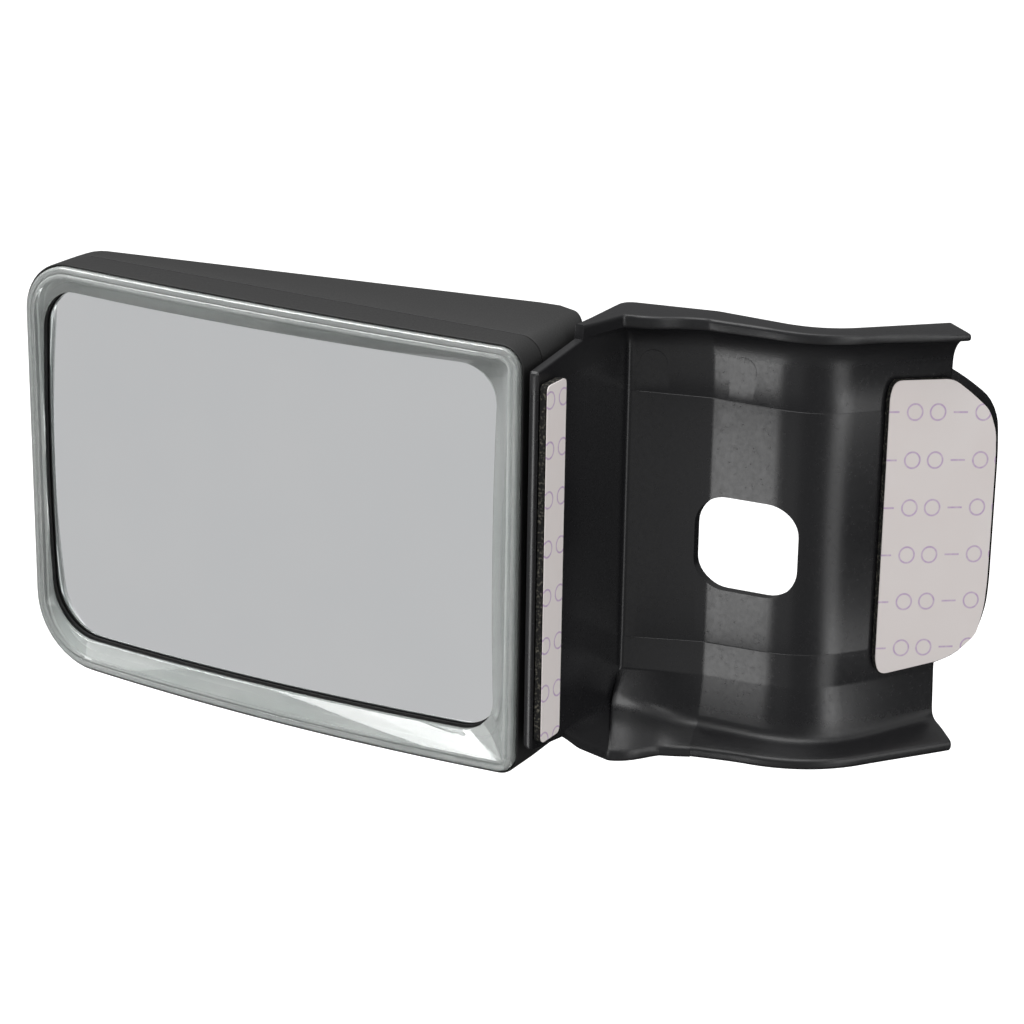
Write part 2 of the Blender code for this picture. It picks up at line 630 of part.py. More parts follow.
# depths and heights along the back wall, from the inner corner to the wall's end
ROOF_DEPTH = ((0.0, 10.0 * MM), (RUN_1, 6.0 * MM), (RUN_1 + RUN_2, 4.6 * MM), (bend_s, 4.8 * MM),
              (end_s, 8.5 * MM))
SKIRT_DEPTH = ((0.0, 18.0 * MM), (RUN_1 * 0.6, 13.0 * MM), (RUN_1 + RUN_2, 11.0 * MM), (bend_s, 11.5 * MM),
               (end_s, 12.0 * MM))
FOLD_DEPTH = ((0.0, FOLD_CORNER[0]), (RUN_1, 3.0 * MM), (bend_s, 3.0 * MM), (end_s, 1.0 * MM))
FOLD_Z = ((0.0, FOLD_CORNER[1]), (RUN_1, -53.4 * MM), (bend_s, -53.6 * MM), (end_s, -52.0 * MM))


def side_wall_station(y):
    """Section through the left wall: place, step to the outer face, roof, skirt, heights."""
    roof_share = max(0.0, (y - ROOF_START_Y) / (CORNER_Y - ROOF_START_Y))
    skirt_share = max(0.0, (y - SKIRT_START_Y) / (CORNER_Y - SKIRT_START_Y))
    if y < ROOF_START_Y:
        top = TOP_FRONT_Z + (TOP_STEP_Z - TOP_FRONT_Z) * (y - WALL_FRONT_Y) / (ROOF_START_Y - WALL_FRONT_Y)
        lip = top - 1.6 * MM
    else:
        top = ROOF_Z
        lip = TOP_STEP_Z
    forward_share = min(1.0, (y - WALL_FRONT_Y) / (SKIRT_START_Y - WALL_FRONT_Y))
    rim_t = 1.0 * MM + (RIM_T - 1.0 * MM) * min(1.0, 3 * skirt_share)
    bottom = BOTTOM_FRONT_Z + (BOTTOM_STEP_Z - BOTTOM_FRONT_Z) * forward_share
    rim = bottom + 1.0 * MM + (SKIRT_RIM_Z - BOTTOM_STEP_Z - 1.0 * MM) * skirt_share
    low_wall = LEDGE_Z - 4.0 * MM * (1 - skirt_share)
    fold = bottom + 1.8 * MM + (FOLD_CORNER[1] - BOTTOM_STEP_Z - 1.8 * MM) * max(0.0, skirt_share * 4 - 3)
    return {
        "point": Vector((WALL_IN_X, y)), "out": Vector((-WALL, 0)),
        "roof": Vector(ROOF_CORNER) * roof_share, "skirt": Vector(SKIRT_CORNER) * skirt_share,
        "fold": Vector((0, 0)), "fold_z": fold, "low_wall_z": low_wall,
        "top": top, "lip": lip, "rim": rim, "rim_t": rim_t, "drop": 0.0}


def back_wall_station(point, angle, along):
    """Section through the back wall, square to its heading."""
    normal = Vector((math.sin(angle), -math.cos(angle)))
    lean = max(0.0, 1 - along / (RUN_1 * 0.6))
    drop = END_DROP * along / end_s
    return {
        "point": point, "out": -WALL * normal,
        "roof": normal * blend(along, ROOF_DEPTH) * (1 - lean) + Vector(ROOF_CORNER) * lean,
        "skirt": normal * blend(along, SKIRT_DEPTH) * (1 - lean) + Vector(SKIRT_CORNER) * lean,
        "fold": normal * blend(along, FOLD_DEPTH) * (1 - lean) + Vector((0, -FOLD_CORNER[0])) * lean,
        "fold_z": blend(along, FOLD_Z), "low_wall_z": LEDGE_Z + drop,
        "top": ROOF_Z - TOP_TAPER * drop, "lip": TOP_STEP_Z - drop, "rim": SKIRT_RIM_Z + 1.5 * drop,
        "rim_t": RIM_T, "drop": drop}


def section(station):
    """Closed section of the bracket at one station, down the inner face and up the outer one."""
    point, out = station["point"], station["out"]
    roof, skirt, fold = station["roof"], station["skirt"], station["fold"]
    outward = out.normalized()
    none = Vector((0, 0))
    drop = station["drop"]
    top, lip, rim = station["top"], station["lip"], station["rim"]
    rim_low = rim - station["rim_t"]
    root = min(ROOF_ROOT_Z - 1.5 * drop, lip - 1.0 * MM)
    steps = [(roof, lip)]
    for k in (1, 2, 3):
        turn = math.pi / 2 * (1 - k / 4)
        steps.append((roof * (1 - math.cos(turn)), root + (lip - root) * math.sin(turn)))
    steps += [(none, root), (none, CREASE_TOP_Z - drop), (none, 0.0), (none, CREASE_LOW_Z + drop)]
    steps += [(none, station["low_wall_z"]), (fold, station["fold_z"])]
    shelf_z = station["fold_z"] + (rim - station["fold_z"]) * 0.4
    steps += [(fold + (skirt - fold) * 0.55, shelf_z), (skirt, rim)]
    steps += [(skirt, rim_low + EDGE_R)]
    # back up the outer face, level with the points of the inner one
    under_z = max(min(station["fold_z"] - 0.9 * WALL, rim_low + 0.4 * MM), rim_low + 0.3 * MM)
    steps += [(skirt + outward * EDGE_R, rim_low)]
    steps += [(fold + (skirt - fold) * 0.5 + outward * 1.2 * MM, under_z)]
    steps += [(out, max(station["fold_z"] - 0.6 * MM, rim_low + 0.8 * MM)), (out, station["low_wall_z"])]
    steps += [(out, CREASE_LOW_Z + drop), (out, 0.0), (out, CREASE_TOP_Z - drop)]
    steps += [(out, top - EDGE_R - 0.6 * MM), (out - outward * EDGE_R, top)]
    steps += [((roof + out) / 2, top), (roof + outward * EDGE_R * 1.1, top), (roof, top - EDGE_R)]
    return [Vector((point.x + step.x, point.y + step.y, z)) for step, z in steps]


corner_out = Vector((-WALL, WALL * (1 - math.sin(HEAD_1)) / math.cos(HEAD_1)))
stations = [side_wall_station(y) for y in (WALL_FRONT_Y, 9.0 * MM, SKIRT_START_Y, ROOF_START_Y - 0.5 * MM,
                                           ROOF_START_Y, 30.0 * MM, 38.0 * MM)]
turning = side_wall_station(CORNER_Y)
turning["out"] = corner_out
turning["fold"] = Vector((0, -FOLD_CORNER[0]))
stations.append(turning)
for k in range(1, 5):
    step = RUN_1 * k / 4
    angle = HEAD_1 if k < 4 else (HEAD_1 + HEAD_2) / 2
    stations.append(back_wall_station(corner + step * heading(HEAD_1), angle, step))
for k in range(1, 4):
    step = RUN_2 * k / 3
    stations.append(back_wall_station(run_1_end + step * heading(HEAD_2), HEAD_2, RUN_1 + step))
for k in range(1, 9):
    angle = HEAD_2 + (FLANGE_ANGLE - HEAD_2) * k / 8
    place = bend_centre - BEND_R * heading(angle + math.pi / 2)
    stations.append(back_wall_station(place, angle, RUN_1 + RUN_2 + BEND_R * (angle - HEAD_2)))
for step in (9.0 * MM, 18.0 * MM, WALL_END):
    stations.append(back_wall_station(bend_end + step * flange_dir, FLANGE_ANGLE, bend_s + step))
bracket_skin = bridge([section(station) for station in stations])
bracket_skin.verts.ensure_lookup_table()
loop_size = len(section(stations[0]))
for first in (0, len(bracket_skin.verts) - loop_size):
    # an end of the moulding: a ladder between the inner and the outer points
    for k in range(loop_size // 2):
        ends = [first + k, first + k + 1, first + loop_size - 2 - k, first + loop_size - 1 - k]
        rung = [bracket_skin.verts[index] for index in dict.fromkeys(ends)]
        bracket_skin.faces.new(rung)
bmesh.ops.triangulate(bracket_skin, faces=bracket_skin.faces)
bmesh.ops.recalc_face_normals(bracket_skin, faces=bracket_skin.faces)
bracket = add_part("bracket", bracket_skin, BLACK_SATIN)


def flange_prism(points, near, far):
    """A prism through the flange from points (along the flange, z)."""
    bm = bmesh.new()
    base = []
    for along, z in points:
        spot = bend_end + along * flange_dir + near * flange_normal
        base.append(bm.verts.new((spot.x, spot.y, z)))
    face = bm.faces.new(base)
    step = (far - near) * flange_normal
    out = bmesh.ops.extrude_face_region(bm, geom=[face])
    moved = [item for item in out["geom"] if isinstance(item, bmesh.types.BMVert)]
    bmesh.ops.translate(bm, vec=(step.x, step.y, 0), verts=moved)
    bmesh.ops.recalc_face_normals(bm, faces=bm.faces)
    return bm


# the free end of the flange, a plate joined to the wall's end
flange_points = [(along * MM, z * MM) for along, z in FLANGE_OUTLINE]
boolean(bracket, flange_prism(flange_points, FLANGE_SINK - WALL, -FLANGE_SINK), "UNION", "flange_end")

hole_w, hole_h, hole_r = WINDOW_HOLE
hole_x = WALL_IN_X + HOLE_X
hole_loop = rounded_outline(hole_x - hole_w / 2, hole_x + hole_w / 2, HOLE_Z - hole_h / 2,
                            HOLE_Z + hole_h / 2, [hole_r] * 4, side_steps=2)
hole_cut = bridge([at_plane(hole_loop, CORNER_Y - 5 * MM), at_plane(hole_loop, CORNER_Y + 25 * MM)],
                  cap_first=True, cap_last=True)
boolean(bracket, hole_cut, "DIFFERENCE", "window_hole")

# the ball and its neck are moulded on the left wall's outer face
ball_bm = bmesh.new()
neck_turn = math.asin(NECK_R / BALL_R)
outline = [(-BALL_R * math.cos(a), BALL_R * math.sin(a))
           for a in ((math.pi - neck_turn) * k / 9 for k in range(10))]
outline += [(WALL_OUT_X + 0.8 * MM - BALL.x, NECK_R), (WALL_OUT_X + 0.8 * MM - BALL.x, 0.0)]
spots = [ball_bm.verts.new((BALL.x + along, BALL.y, BALL.z + radius)) for along, radius in outline]
edges = [ball_bm.edges.new(pair) for pair in zip(spots, spots[1:])]
bmesh.ops.spin(ball_bm, geom=spots + edges, cent=BALL, axis=(1, 0, 0), angle=math.tau, steps=22,
               use_merge=True)
bmesh.ops.remove_doubles(ball_bm, verts=ball_bm.verts, dist=0.001 * MM)
bmesh.ops.recalc_face_normals(ball_bm, faces=ball_bm.faces)
boolean(bracket, ball_bm, "UNION", "ball")


# ---- tapes: a foam and a release liner at each end of the bracket ----
def strip_plate(x_low, x_high, shorter=0.0):
    low = (x_low, STRIP_Y[0] + shorter, STRIP_Z[0] + shorter)
    high = (x_high, STRIP_Y[1] - shorter, STRIP_Z[1] - shorter)
    return box(low, high)


foam_x = WALL_IN_X + GLUE
liner_x = foam_x + TAPE_FOAM_T + GLUE
add_part("strip_foam", strip_plate(foam_x, foam_x + TAPE_FOAM_T), FOAM)
add_part("strip_liner", strip_plate(liner_x, liner_x + LINER_T), RELEASE)

pad_points = [(along * MM, z * MM) for along, z in PAD_OUTLINE]
pad_foam_near = GLUE
pad_liner_near = pad_foam_near + TAPE_FOAM_T + GLUE
add_part("pad_foam", flange_prism(pad_points, pad_foam_near, pad_foam_near + TAPE_FOAM_T), FOAM)
add_part("pad_liner", flange_prism(pad_points, pad_liner_near, pad_liner_near + LINER_T), RELEASE)
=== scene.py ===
import math

import bmesh
import bpy
from mathutils import Matrix, Vector, noise


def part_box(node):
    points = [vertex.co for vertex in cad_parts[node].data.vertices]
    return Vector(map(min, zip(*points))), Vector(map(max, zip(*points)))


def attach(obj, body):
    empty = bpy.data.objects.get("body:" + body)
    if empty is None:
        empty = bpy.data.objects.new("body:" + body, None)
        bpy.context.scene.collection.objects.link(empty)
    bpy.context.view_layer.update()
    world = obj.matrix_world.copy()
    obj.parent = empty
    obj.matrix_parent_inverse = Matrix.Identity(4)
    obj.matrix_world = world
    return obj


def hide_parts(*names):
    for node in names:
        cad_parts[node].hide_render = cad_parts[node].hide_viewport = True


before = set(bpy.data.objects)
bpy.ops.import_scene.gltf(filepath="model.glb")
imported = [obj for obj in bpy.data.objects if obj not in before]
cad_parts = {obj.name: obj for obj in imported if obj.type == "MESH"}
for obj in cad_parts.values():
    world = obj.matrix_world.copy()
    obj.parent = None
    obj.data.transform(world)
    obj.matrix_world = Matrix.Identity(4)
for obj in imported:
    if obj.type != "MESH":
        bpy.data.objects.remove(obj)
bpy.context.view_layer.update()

# ---- studio ----
# A large pale sweep far below the part, a big soft box overhead and one at each side. Panels and strips
# that reach one piece alone draw the sheens on the bracket and the rim and the even grey in the mirror.
MM = 0.001
CAMERA_SPOT = Vector((0.354794, -0.629630, 0.272994))
CAMERA_AZIMUTH = math.radians(30.22)
CAMERA_ELEVATION = math.radians(19.78)
CAMERA_ROLL = math.radians(0.883)
CAMERA_LENS = 111.73
SENSOR = 36.0
FLOOR_Z = -0.42
BACKDROP_LIGHT = 1.0
TENT_LIGHT = 0.24


def linear(hex_colour):
    """An sRGB hex colour as linear light, with full alpha."""
    channels = [int(hex_colour[i:i + 2], 16) / 255 for i in (0, 2, 4)]
    return [c / 12.92 if c <= 0.04045 else ((c + 0.055) / 1.055) ** 2.4 for c in channels] + [1.0]


def add_node(tree, kind, settings=None, values=None, links=None):
    """Adds a node: attributes to set, socket values by name or number, and links into its sockets."""
    node = tree.nodes.new(kind)
    for name, value in (settings or {}).items():
        setattr(node, name, value)
    for socket, value in (values or {}).items():
        node.inputs[socket].default_value = value
    for socket, source in (links or {}).items():
        tree.links.new(source, node.inputs[socket])
    return node


def new_material(name):
    """A material, its tree, its shader, and the socket that gives the piece's own coordinates."""
    material = bpy.data.materials.new(name)
    material.use_nodes = True
    tree = material.node_tree
    own = add_node(tree, "ShaderNodeTexCoord").outputs["Object"]
    return material, tree, tree.nodes["Principled BSDF"], own


scene = bpy.context.scene
scene.view_settings.view_transform = "Standard"

turn = Vector((math.sin(CAMERA_AZIMUTH) * math.cos(CAMERA_ELEVATION),
               -math.cos(CAMERA_AZIMUTH) * math.cos(CAMERA_ELEVATION), math.sin(CAMERA_ELEVATION)))
across = Vector((math.cos(CAMERA_AZIMUTH), math.sin(CAMERA_AZIMUTH), 0))
upward = turn.cross(across)
roll_x = math.cos(CAMERA_ROLL) * across + math.sin(CAMERA_ROLL) * upward
roll_y = turn.cross(roll_x)
camera_data = bpy.data.cameras.new("camera")
camera_data.lens = CAMERA_LENS
camera_data.sensor_width = SENSOR
camera_data.clip_start = 0.01
camera_data.clip_end = 20.0
camera = bpy.data.objects.new("camera", camera_data)
camera.matrix_world = Matrix((roll_x, roll_y, turn)).transposed().to_4x4()
camera.location = CAMERA_SPOT
scene.collection.objects.link(camera)
scene.camera = camera

# the world: white where it is looked at, a grey tent in what the surfaces reflect
world = bpy.data.worlds.new("soft_tent")
world.use_nodes = True
tree = world.node_tree
tree.nodes.clear()
place = add_node(tree, "ShaderNodeTexCoord")
split = add_node(tree, "ShaderNodeSeparateXYZ", links={0: place.outputs["Generated"]})
overhead = add_node(tree, "ShaderNodeMapRange", {"interpolation_type": "SMOOTHSTEP"},
                    {1: 0.35, 2: 0.9, 3: TENT_LIGHT, 4: TENT_LIGHT + 0.55}, {0: split.outputs["Z"]})
rays = add_node(tree, "ShaderNodeLightPath")
looked_at = add_node(tree, "ShaderNodeMix", {"data_type": "FLOAT"}, {3: BACKDROP_LIGHT},
                     {0: rays.outputs["Is Camera Ray"], 2: overhead.outputs[0]})
background = add_node(tree, "ShaderNodeBackground", links={"Strength": looked_at.outputs[0]})
add_node(tree, "ShaderNodeOutputWorld", links={0: background.outputs[0]})
scene.world = world


def soft_box(name, spot, aim, width, height, power, only=None):
    """An area lamp at a spot, turned to an aim, with its long side upright, for every piece or only some."""
    lamp = bpy.data.lights.new(name, "AREA")
    lamp.shape = "RECTANGLE"
    lamp.size = width
    lamp.size_y = height
    lamp.energy = power
    box = bpy.data.objects.new(name, lamp)
    box.location = spot
    box.rotation_euler = (Vector(aim) - Vector(spot)).to_track_quat("-Z", "Y").to_euler()
    box.light_linking.receiver_collection = only
    scene.collection.objects.link(box)


# some boxes are flagged off so that they reach one piece alone
bracket_only = bpy.data.collections.new("bracket_only")
glass_only = bpy.data.collections.new("glass_only")
rim_only = bpy.data.collections.new("rim_only")
soft_box("overhead_box", (-0.15, -0.15, 1.0), (0, 0, 0), 1.1, 0.9, 9.0)
soft_box("left_box", (-0.9, -0.55, 0.35), (0, 0, 0), 0.5, 0.9, 3.5)
soft_box("right_box", (0.95, -0.35, 0.30), (0, 0, 0), 0.4, 0.9, 2.9)
soft_box("mirror_panel", (-0.334, -0.512, -0.201), (-0.082, -0.006, 0), 1.0, 0.9, 0.97, glass_only)
soft_box("second_run_strip", (-0.190, -0.650, -0.275), (0.026, 0.048, 0), 0.16, 0.5, 1.1, bracket_only)
soft_box("first_run_strip", (0.13, -0.66, -0.26), (0.008, 0.042, 0), 0.22, 0.5, 0.09, bracket_only)
soft_box("edge_strip", (-0.43, -0.28, 0.71), (0.03, 0.03, 0), 0.12, 0.5, 1.2, bracket_only)
soft_box("bend_strip", (0.62, -0.30, -0.24), (0.055, 0.055, 0), 0.2, 0.5, 0.45, bracket_only)
soft_box("lip_panel", (-0.36, -0.12, 0.55), (-0.082, 0, -0.05), 0.5, 0.5, 8.0, rim_only)
soft_box("band_panel", (-0.36, -0.55, -0.20), (-0.082, 0, 0), 0.5, 0.5, 0.9, rim_only)

floor_mesh = bmesh.new()
bmesh.ops.create_grid(floor_mesh, x_segments=1, y_segments=1, size=6.0)
bmesh.ops.translate(floor_mesh, vec=(0, 0, FLOOR_Z), verts=floor_mesh.verts)
floor_data = bpy.data.meshes.new("floor")
floor_mesh.to_mesh(floor_data)
floor_mesh.free()
floor = bpy.data.objects.new("floor", floor_data)
scene.collection.objects.link(floor)
# white paper with a painted glow: its emission keeps it white to the camera, and what the part reflects of it
# is a painted even grey in front and dark behind
paper, tree, paper_shader, own = new_material("glowing_paper_sweep")
rays = add_node(tree, "ShaderNodeLightPath")
split = add_node(tree, "ShaderNodeSeparateXYZ", links={0: own})
behind = add_node(tree, "ShaderNodeMapRange", values={1: -0.4, 2: 0.15, 3: TENT_LIGHT, 4: 0.02},
                  links={0: split.outputs["Y"]})
reflected = add_node(tree, "ShaderNodeMix", {"data_type": "FLOAT"}, {2: 0.12},
                     {0: rays.outputs["Is Glossy Ray"], 3: behind.outputs[0]})
# painted glow: white for the camera, the painted reflection grey for glossy rays, dim for the rest
glow = add_node(tree, "ShaderNodeMix", {"data_type": "FLOAT"}, {3: 1.0},
                {0: rays.outputs["Is Camera Ray"], 2: reflected.outputs[0]})
ground = add_node(tree, "ShaderNodeMix", {"data_type": "RGBA"}, {6: linear("bcbcbc"), 7: linear("000000")},
                  {0: rays.outputs["Is Glossy Ray"]})
tree.links.new(ground.outputs[2], paper_shader.inputs["Base Color"])
paper_shader.inputs["Roughness"].default_value = 0.9
paper_shader.inputs["Specular IOR Level"].default_value = 0.0
paper_shader.inputs["Emission Color"].default_value = linear("ffffff")
tree.links.new(glow.outputs[0], paper_shader.inputs["Emission Strength"])
floor_data.materials.append(paper)

# ---- bracket ----
# One injection moulding in black ABS: a side wall beside the head, a back wall with a roof and a skirt
# that wraps the vehicle mirror's edge, a bend, and a flange for the second tape. Satin on the walls,
# fine spark-eroded grain on roof and skirt, faint rings from the ejector pins.
HEAD_H = 110.0 * MM
WALL = 2.5 * MM
WALL_FRONT_Y = 0.5 * MM
CORNER_Y = 45.8 * MM
RUN_1 = 21.5 * MM
HEAD_1 = math.radians(19.0)
RUN_2 = 17.0 * MM
HEAD_2 = math.radians(5.0)
BEND_R = 25.0 * MM
FLANGE_ANGLE = math.radians(51.0)
WALL_END = 26.5 * MM
FLANGE_OUTLINE = (
    (22.0, 42.4), (25.5, 42.4), (31.4, 38.4), (37.7, 33.3), (40.4, 27.6), (41.0, 18.0),
    (41.0, -16.0), (40.6, -23.0), (38.1, -31.0), (32.3, -35.8), (25.5, -37.6), (22.0, -37.6))
FLANGE_SINK = 0.1 * MM          # the free end is this much thinner on each face
TOP_FRONT_Z = 50.2 * MM
TOP_STEP_Z = 53.1 * MM
ROOF_Z = 56.5 * MM
ROOF_ROOT_Z = 46.2 * MM
CREASE_TOP_Z = 34.0 * MM
CREASE_LOW_Z = -32.3 * MM
LEDGE_Z = -41.0 * MM
BOTTOM_FRONT_Z = -47.6 * MM
BOTTOM_STEP_Z = -49.8 * MM
SKIRT_RIM_Z = -57.0 * MM
RIM_T = 2.6 * MM
ROOF_START_Y = 22.9 * MM
SKIRT_START_Y = 16.7 * MM
ROOF_CORNER = Vector((3.6 * MM, -9.3 * MM))
SKIRT_CORNER = Vector((6.6 * MM, -17.0 * MM))
FOLD_CORNER = (6.0 * MM, -48.0 * MM)
END_DROP = 1.8 * MM
TOP_TAPER = 1.8
CREASE_LEAN = 0.022             # the wall leans forward past each crease, about 1.3 degrees
CORNER_SOFT = 1.3 * MM          # rounding of the upright inner corner
HOLE_W = 27.0 * MM
HOLE_H = 25.0 * MM
HOLE_R = 8.0 * MM
HOLE_X = 30.7 * MM
HOLE_Z = -4.4 * MM
PIN_PROUD = 0.14 * MM
GLUE = 0.25 * MM                # glue line under a tape or a foam
CREASE_STEP = 0.13 * MM         # each crease is a tiny step that faces up

rim_low, rim_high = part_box("clear_rim")
bracket_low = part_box("bracket")[0]
HEAD_MID = Vector(((rim_low.x + rim_high.x) / 2, bracket_low.y - WALL_FRONT_Y, rim_high.z - HEAD_H / 2))
WALL_OUT_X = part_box("strip_foam")[0].x - GLUE - WALL - HEAD_MID.x
WALL_IN_X = WALL_OUT_X + WALL


def heading(angle):
    return Vector((math.cos(angle), math.sin(angle)))


corner = Vector((WALL_IN_X, CORNER_Y))
run_1_end = corner + RUN_1 * heading(HEAD_1)
run_2_end = run_1_end + RUN_2 * heading(HEAD_2)
bend_centre = run_2_end + BEND_R * heading(HEAD_2 + math.pi / 2)
bend_end = bend_centre - BEND_R * heading(FLANGE_ANGLE + math.pi / 2)
flange_dir = heading(FLANGE_ANGLE)
flange_normal = Vector((flange_dir.y, -flange_dir.x))
bend_s = RUN_1 + RUN_2 + BEND_R * (FLANGE_ANGLE - HEAD_2)
end_s = bend_s + WALL_END


def blend(value, table):
    """Smooth value from a short table of (place, value)."""
    for (a, low), (b, high) in zip(table, table[1:]):
        if value <= b:
            t = max(0.0, (value - a) / (b - a))
            return low + (high - low) * t * t * (3 - 2 * t)
    return table[-1][1]


ROOF_DEPTH = ((0.0, 10.0 * MM), (RUN_1, 6.0 * MM), (RUN_1 + RUN_2, 4.6 * MM), (bend_s, 4.8 * MM),
              (end_s, 8.5 * MM))
SKIRT_DEPTH = ((0.0, 18.0 * MM), (RUN_1 * 0.6, 13.0 * MM), (RUN_1 + RUN_2, 11.0 * MM), (bend_s, 11.5 * MM),
               (end_s, 12.0 * MM))
FOLD_DEPTH = ((0.0, FOLD_CORNER[0]), (RUN_1, 3.0 * MM), (bend_s, 3.0 * MM), (end_s, 1.0 * MM))
FOLD_Z = ((0.0, FOLD_CORNER[1]), (RUN_1, -53.4 * MM), (bend_s, -53.6 * MM), (end_s, -52.0 * MM))


def side_wall(y, pinch=0.0):
    """Section of the side wall at a depth; pinch draws every face in, for a rounded end."""
    roof_share = max(0.0, (y - ROOF_START_Y) / (CORNER_Y - ROOF_START_Y))
    skirt_share = max(0.0, (y - SKIRT_START_Y) / (CORNER_Y - SKIRT_START_Y))
    if y < ROOF_START_Y:
        top = TOP_FRONT_Z + (TOP_STEP_Z - TOP_FRONT_Z) * (y - WALL_FRONT_Y) / (ROOF_START_Y - WALL_FRONT_Y)
        lip = top - 1.6 * MM
    else:
        top = ROOF_Z
        lip = TOP_STEP_Z
    forward_share = min(1.0, (y - WALL_FRONT_Y) / (SKIRT_START_Y - WALL_FRONT_Y))
    rim_t = 1.0 * MM + (RIM_T - 1.0 * MM) * min(1.0, 3 * skirt_share)
    bottom = BOTTOM_FRONT_Z + (BOTTOM_STEP_Z - BOTTOM_FRONT_Z) * forward_share
    rim = bottom + 1.0 * MM + (SKIRT_RIM_Z - BOTTOM_STEP_Z - 1.0 * MM) * skirt_share
    fold = bottom + 1.8 * MM + (FOLD_CORNER[1] - BOTTOM_STEP_Z - 1.8 * MM) * max(0.0, skirt_share * 4 - 3)
    return section({
        "point": Vector((WALL_IN_X, y)), "normal": Vector((1, 0)), "out": Vector((-WALL, 0)),
        "roof": ROOF_CORNER * roof_share, "skirt": SKIRT_CORNER * skirt_share,
        "fold": Vector((0, 0)), "fold_z": fold, "low_wall": LEDGE_Z - 4.0 * MM * (1 - skirt_share),
        "top": top, "lip": lip, "rim": rim, "rim_t": rim_t, "drop": 0.0, "pinch": pinch, "lean": 0.0})


def back_wall(point, angle, along, pinch=0.0):
    """Section of the back wall, square to its heading."""
    normal = Vector((math.sin(angle), -math.cos(angle)))
    lean = max(0.0, 1 - along / (RUN_1 * 0.6))
    drop = END_DROP * along / end_s
    return section({
        "point": point, "normal": normal, "out": -WALL * normal,
        "roof": normal * blend(along, ROOF_DEPTH) * (1 - lean) + ROOF_CORNER * lean,
        "skirt": normal * blend(along, SKIRT_DEPTH) * (1 - lean) + SKIRT_CORNER * lean,
        "fold": normal * blend(along, FOLD_DEPTH) * (1 - lean) + Vector((0, -FOLD_CORNER[0])) * lean,
        "fold_z": blend(along, FOLD_Z), "low_wall": LEDGE_Z + drop,
        "top": ROOF_Z - TOP_TAPER * drop, "lip": TOP_STEP_Z - drop, "rim": SKIRT_RIM_Z + 1.5 * drop,
        "rim_t": RIM_T, "drop": drop, "pinch": pinch, "lean": min(1.0, along / (3 * MM))})


def softened(corners):
    """A closed loop through corners (point, rounding, steps), each corner drawn as a short curve."""
    loop = []
    for k, (point, rounding, steps) in enumerate(corners):
        if steps == 0:
            loop.append(point)
            continue
        before = corners[k - 1][0] - point
        after = corners[(k + 1) % len(corners)][0] - point
        start = point + before * min(0.45, rounding / max(before.length, 1e-6))
        end = point + after * min(0.45, rounding / max(after.length, 1e-6))
        for s in range(steps + 1):
            t = s / steps
            loop.append(start.lerp(point, t).lerp(point.lerp(end, t), t))
    return loop


def section(s):
    """Closed loop of the bracket at one station, down the inner face and up the outer one."""
    outward = s["out"].normalized()
    pinch = s["pinch"]
    inner = outward * pinch
    out = s["out"] - outward * pinch
    roof, skirt, fold = s["roof"] + inner, s["skirt"] + inner, s["fold"] + inner
    drop = s["drop"]
    top, lip, rim = s["top"] - pinch, s["lip"] + 0.3 * pinch, s["rim"] - 0.5 * pinch
    rim_low = s["rim"] - s["rim_t"] + pinch
    root = min(ROOF_ROOT_Z - 1.5 * drop, s["lip"] - 1.0 * MM)
    upper_lean = inner + s["normal"] * CREASE_LEAN * (root - CREASE_TOP_Z + drop) * s["lean"]
    step = s["normal"] * CREASE_STEP * s["lean"]
    lower_lean = inner + s["normal"] * CREASE_LEAN * (CREASE_LOW_Z + drop - s["low_wall"]) * s["lean"]

    def at(step, z):
        return Vector((s["point"].x + step.x, s["point"].y + step.y, z))

    corners = [(at(roof, lip), 0.9 * MM, 3)]
    for k in range(1, 10):
        angle = math.pi / 2 * (1 - k / 10)
        sweep = upper_lean + (roof - upper_lean) * (1 - math.cos(angle))
        corners.append((at(sweep, root + (lip - root) * math.sin(angle)), 0, 0))
    corners += [
        (at(upper_lean, root), 0, 0),
        (at(inner - step, CREASE_TOP_Z - drop + 0.12 * MM), 0.05 * MM, 1),
        (at(inner, CREASE_TOP_Z - drop), 0.06 * MM, 2),
        (at(inner, 0.0), 0, 0),
        (at(inner, CREASE_LOW_Z + drop + 0.12 * MM), 0.05 * MM, 1),
        (at(inner + step, CREASE_LOW_Z + drop), 0.06 * MM, 2),
        (at(lower_lean, s["low_wall"]), 0.45 * MM, 3),
        (at(fold, s["fold_z"]), 2.6 * MM, 5),
        (at(fold + (skirt - fold) * 0.55, s["fold_z"] + (rim - s["fold_z"]) * 0.4), 2.0 * MM, 2),
        (at(skirt, rim), 1.0 * MM, 4),
        (at(skirt, rim_low), 0.9 * MM, 4)]
    under_z = max(min(s["fold_z"] - 0.9 * WALL, rim_low + 0.4 * MM), rim_low + 0.3 * MM)
    under_out = fold + (skirt - fold) * 0.5 + outward * 1.2 * MM
    corners += [
        (at(under_out, under_z), 1.5 * MM, 3),
        (at(out, max(s["fold_z"] - 0.6 * MM, rim_low + 0.8 * MM)), 2.5 * MM, 4),
        (at(out, s["low_wall"]), 0, 0),
        (at(out, CREASE_LOW_Z + drop), 0, 0),
        (at(out, 0.0), 0, 0),
        (at(out, CREASE_TOP_Z - drop), 0, 0),
        (at(out, top - 2.2 * MM), 0, 0),
        (at(out, top), 1.1 * MM, 4),
        (at((roof + out) / 2, top), 0, 0),
        (at(roof, top), 1.0 * MM, 4)]
    return softened(corners)


def rounded_turn(before, middle, after, steps):
    """Loops of a rounded corner between two sections that meet at a middle one."""
    turns = []
    for k in range(steps + 1):
        t = k / steps
        turns.append([a.lerp(m, t).lerp(m.lerp(b, t), t) for a, m, b in zip(before, middle, after)])
    return turns


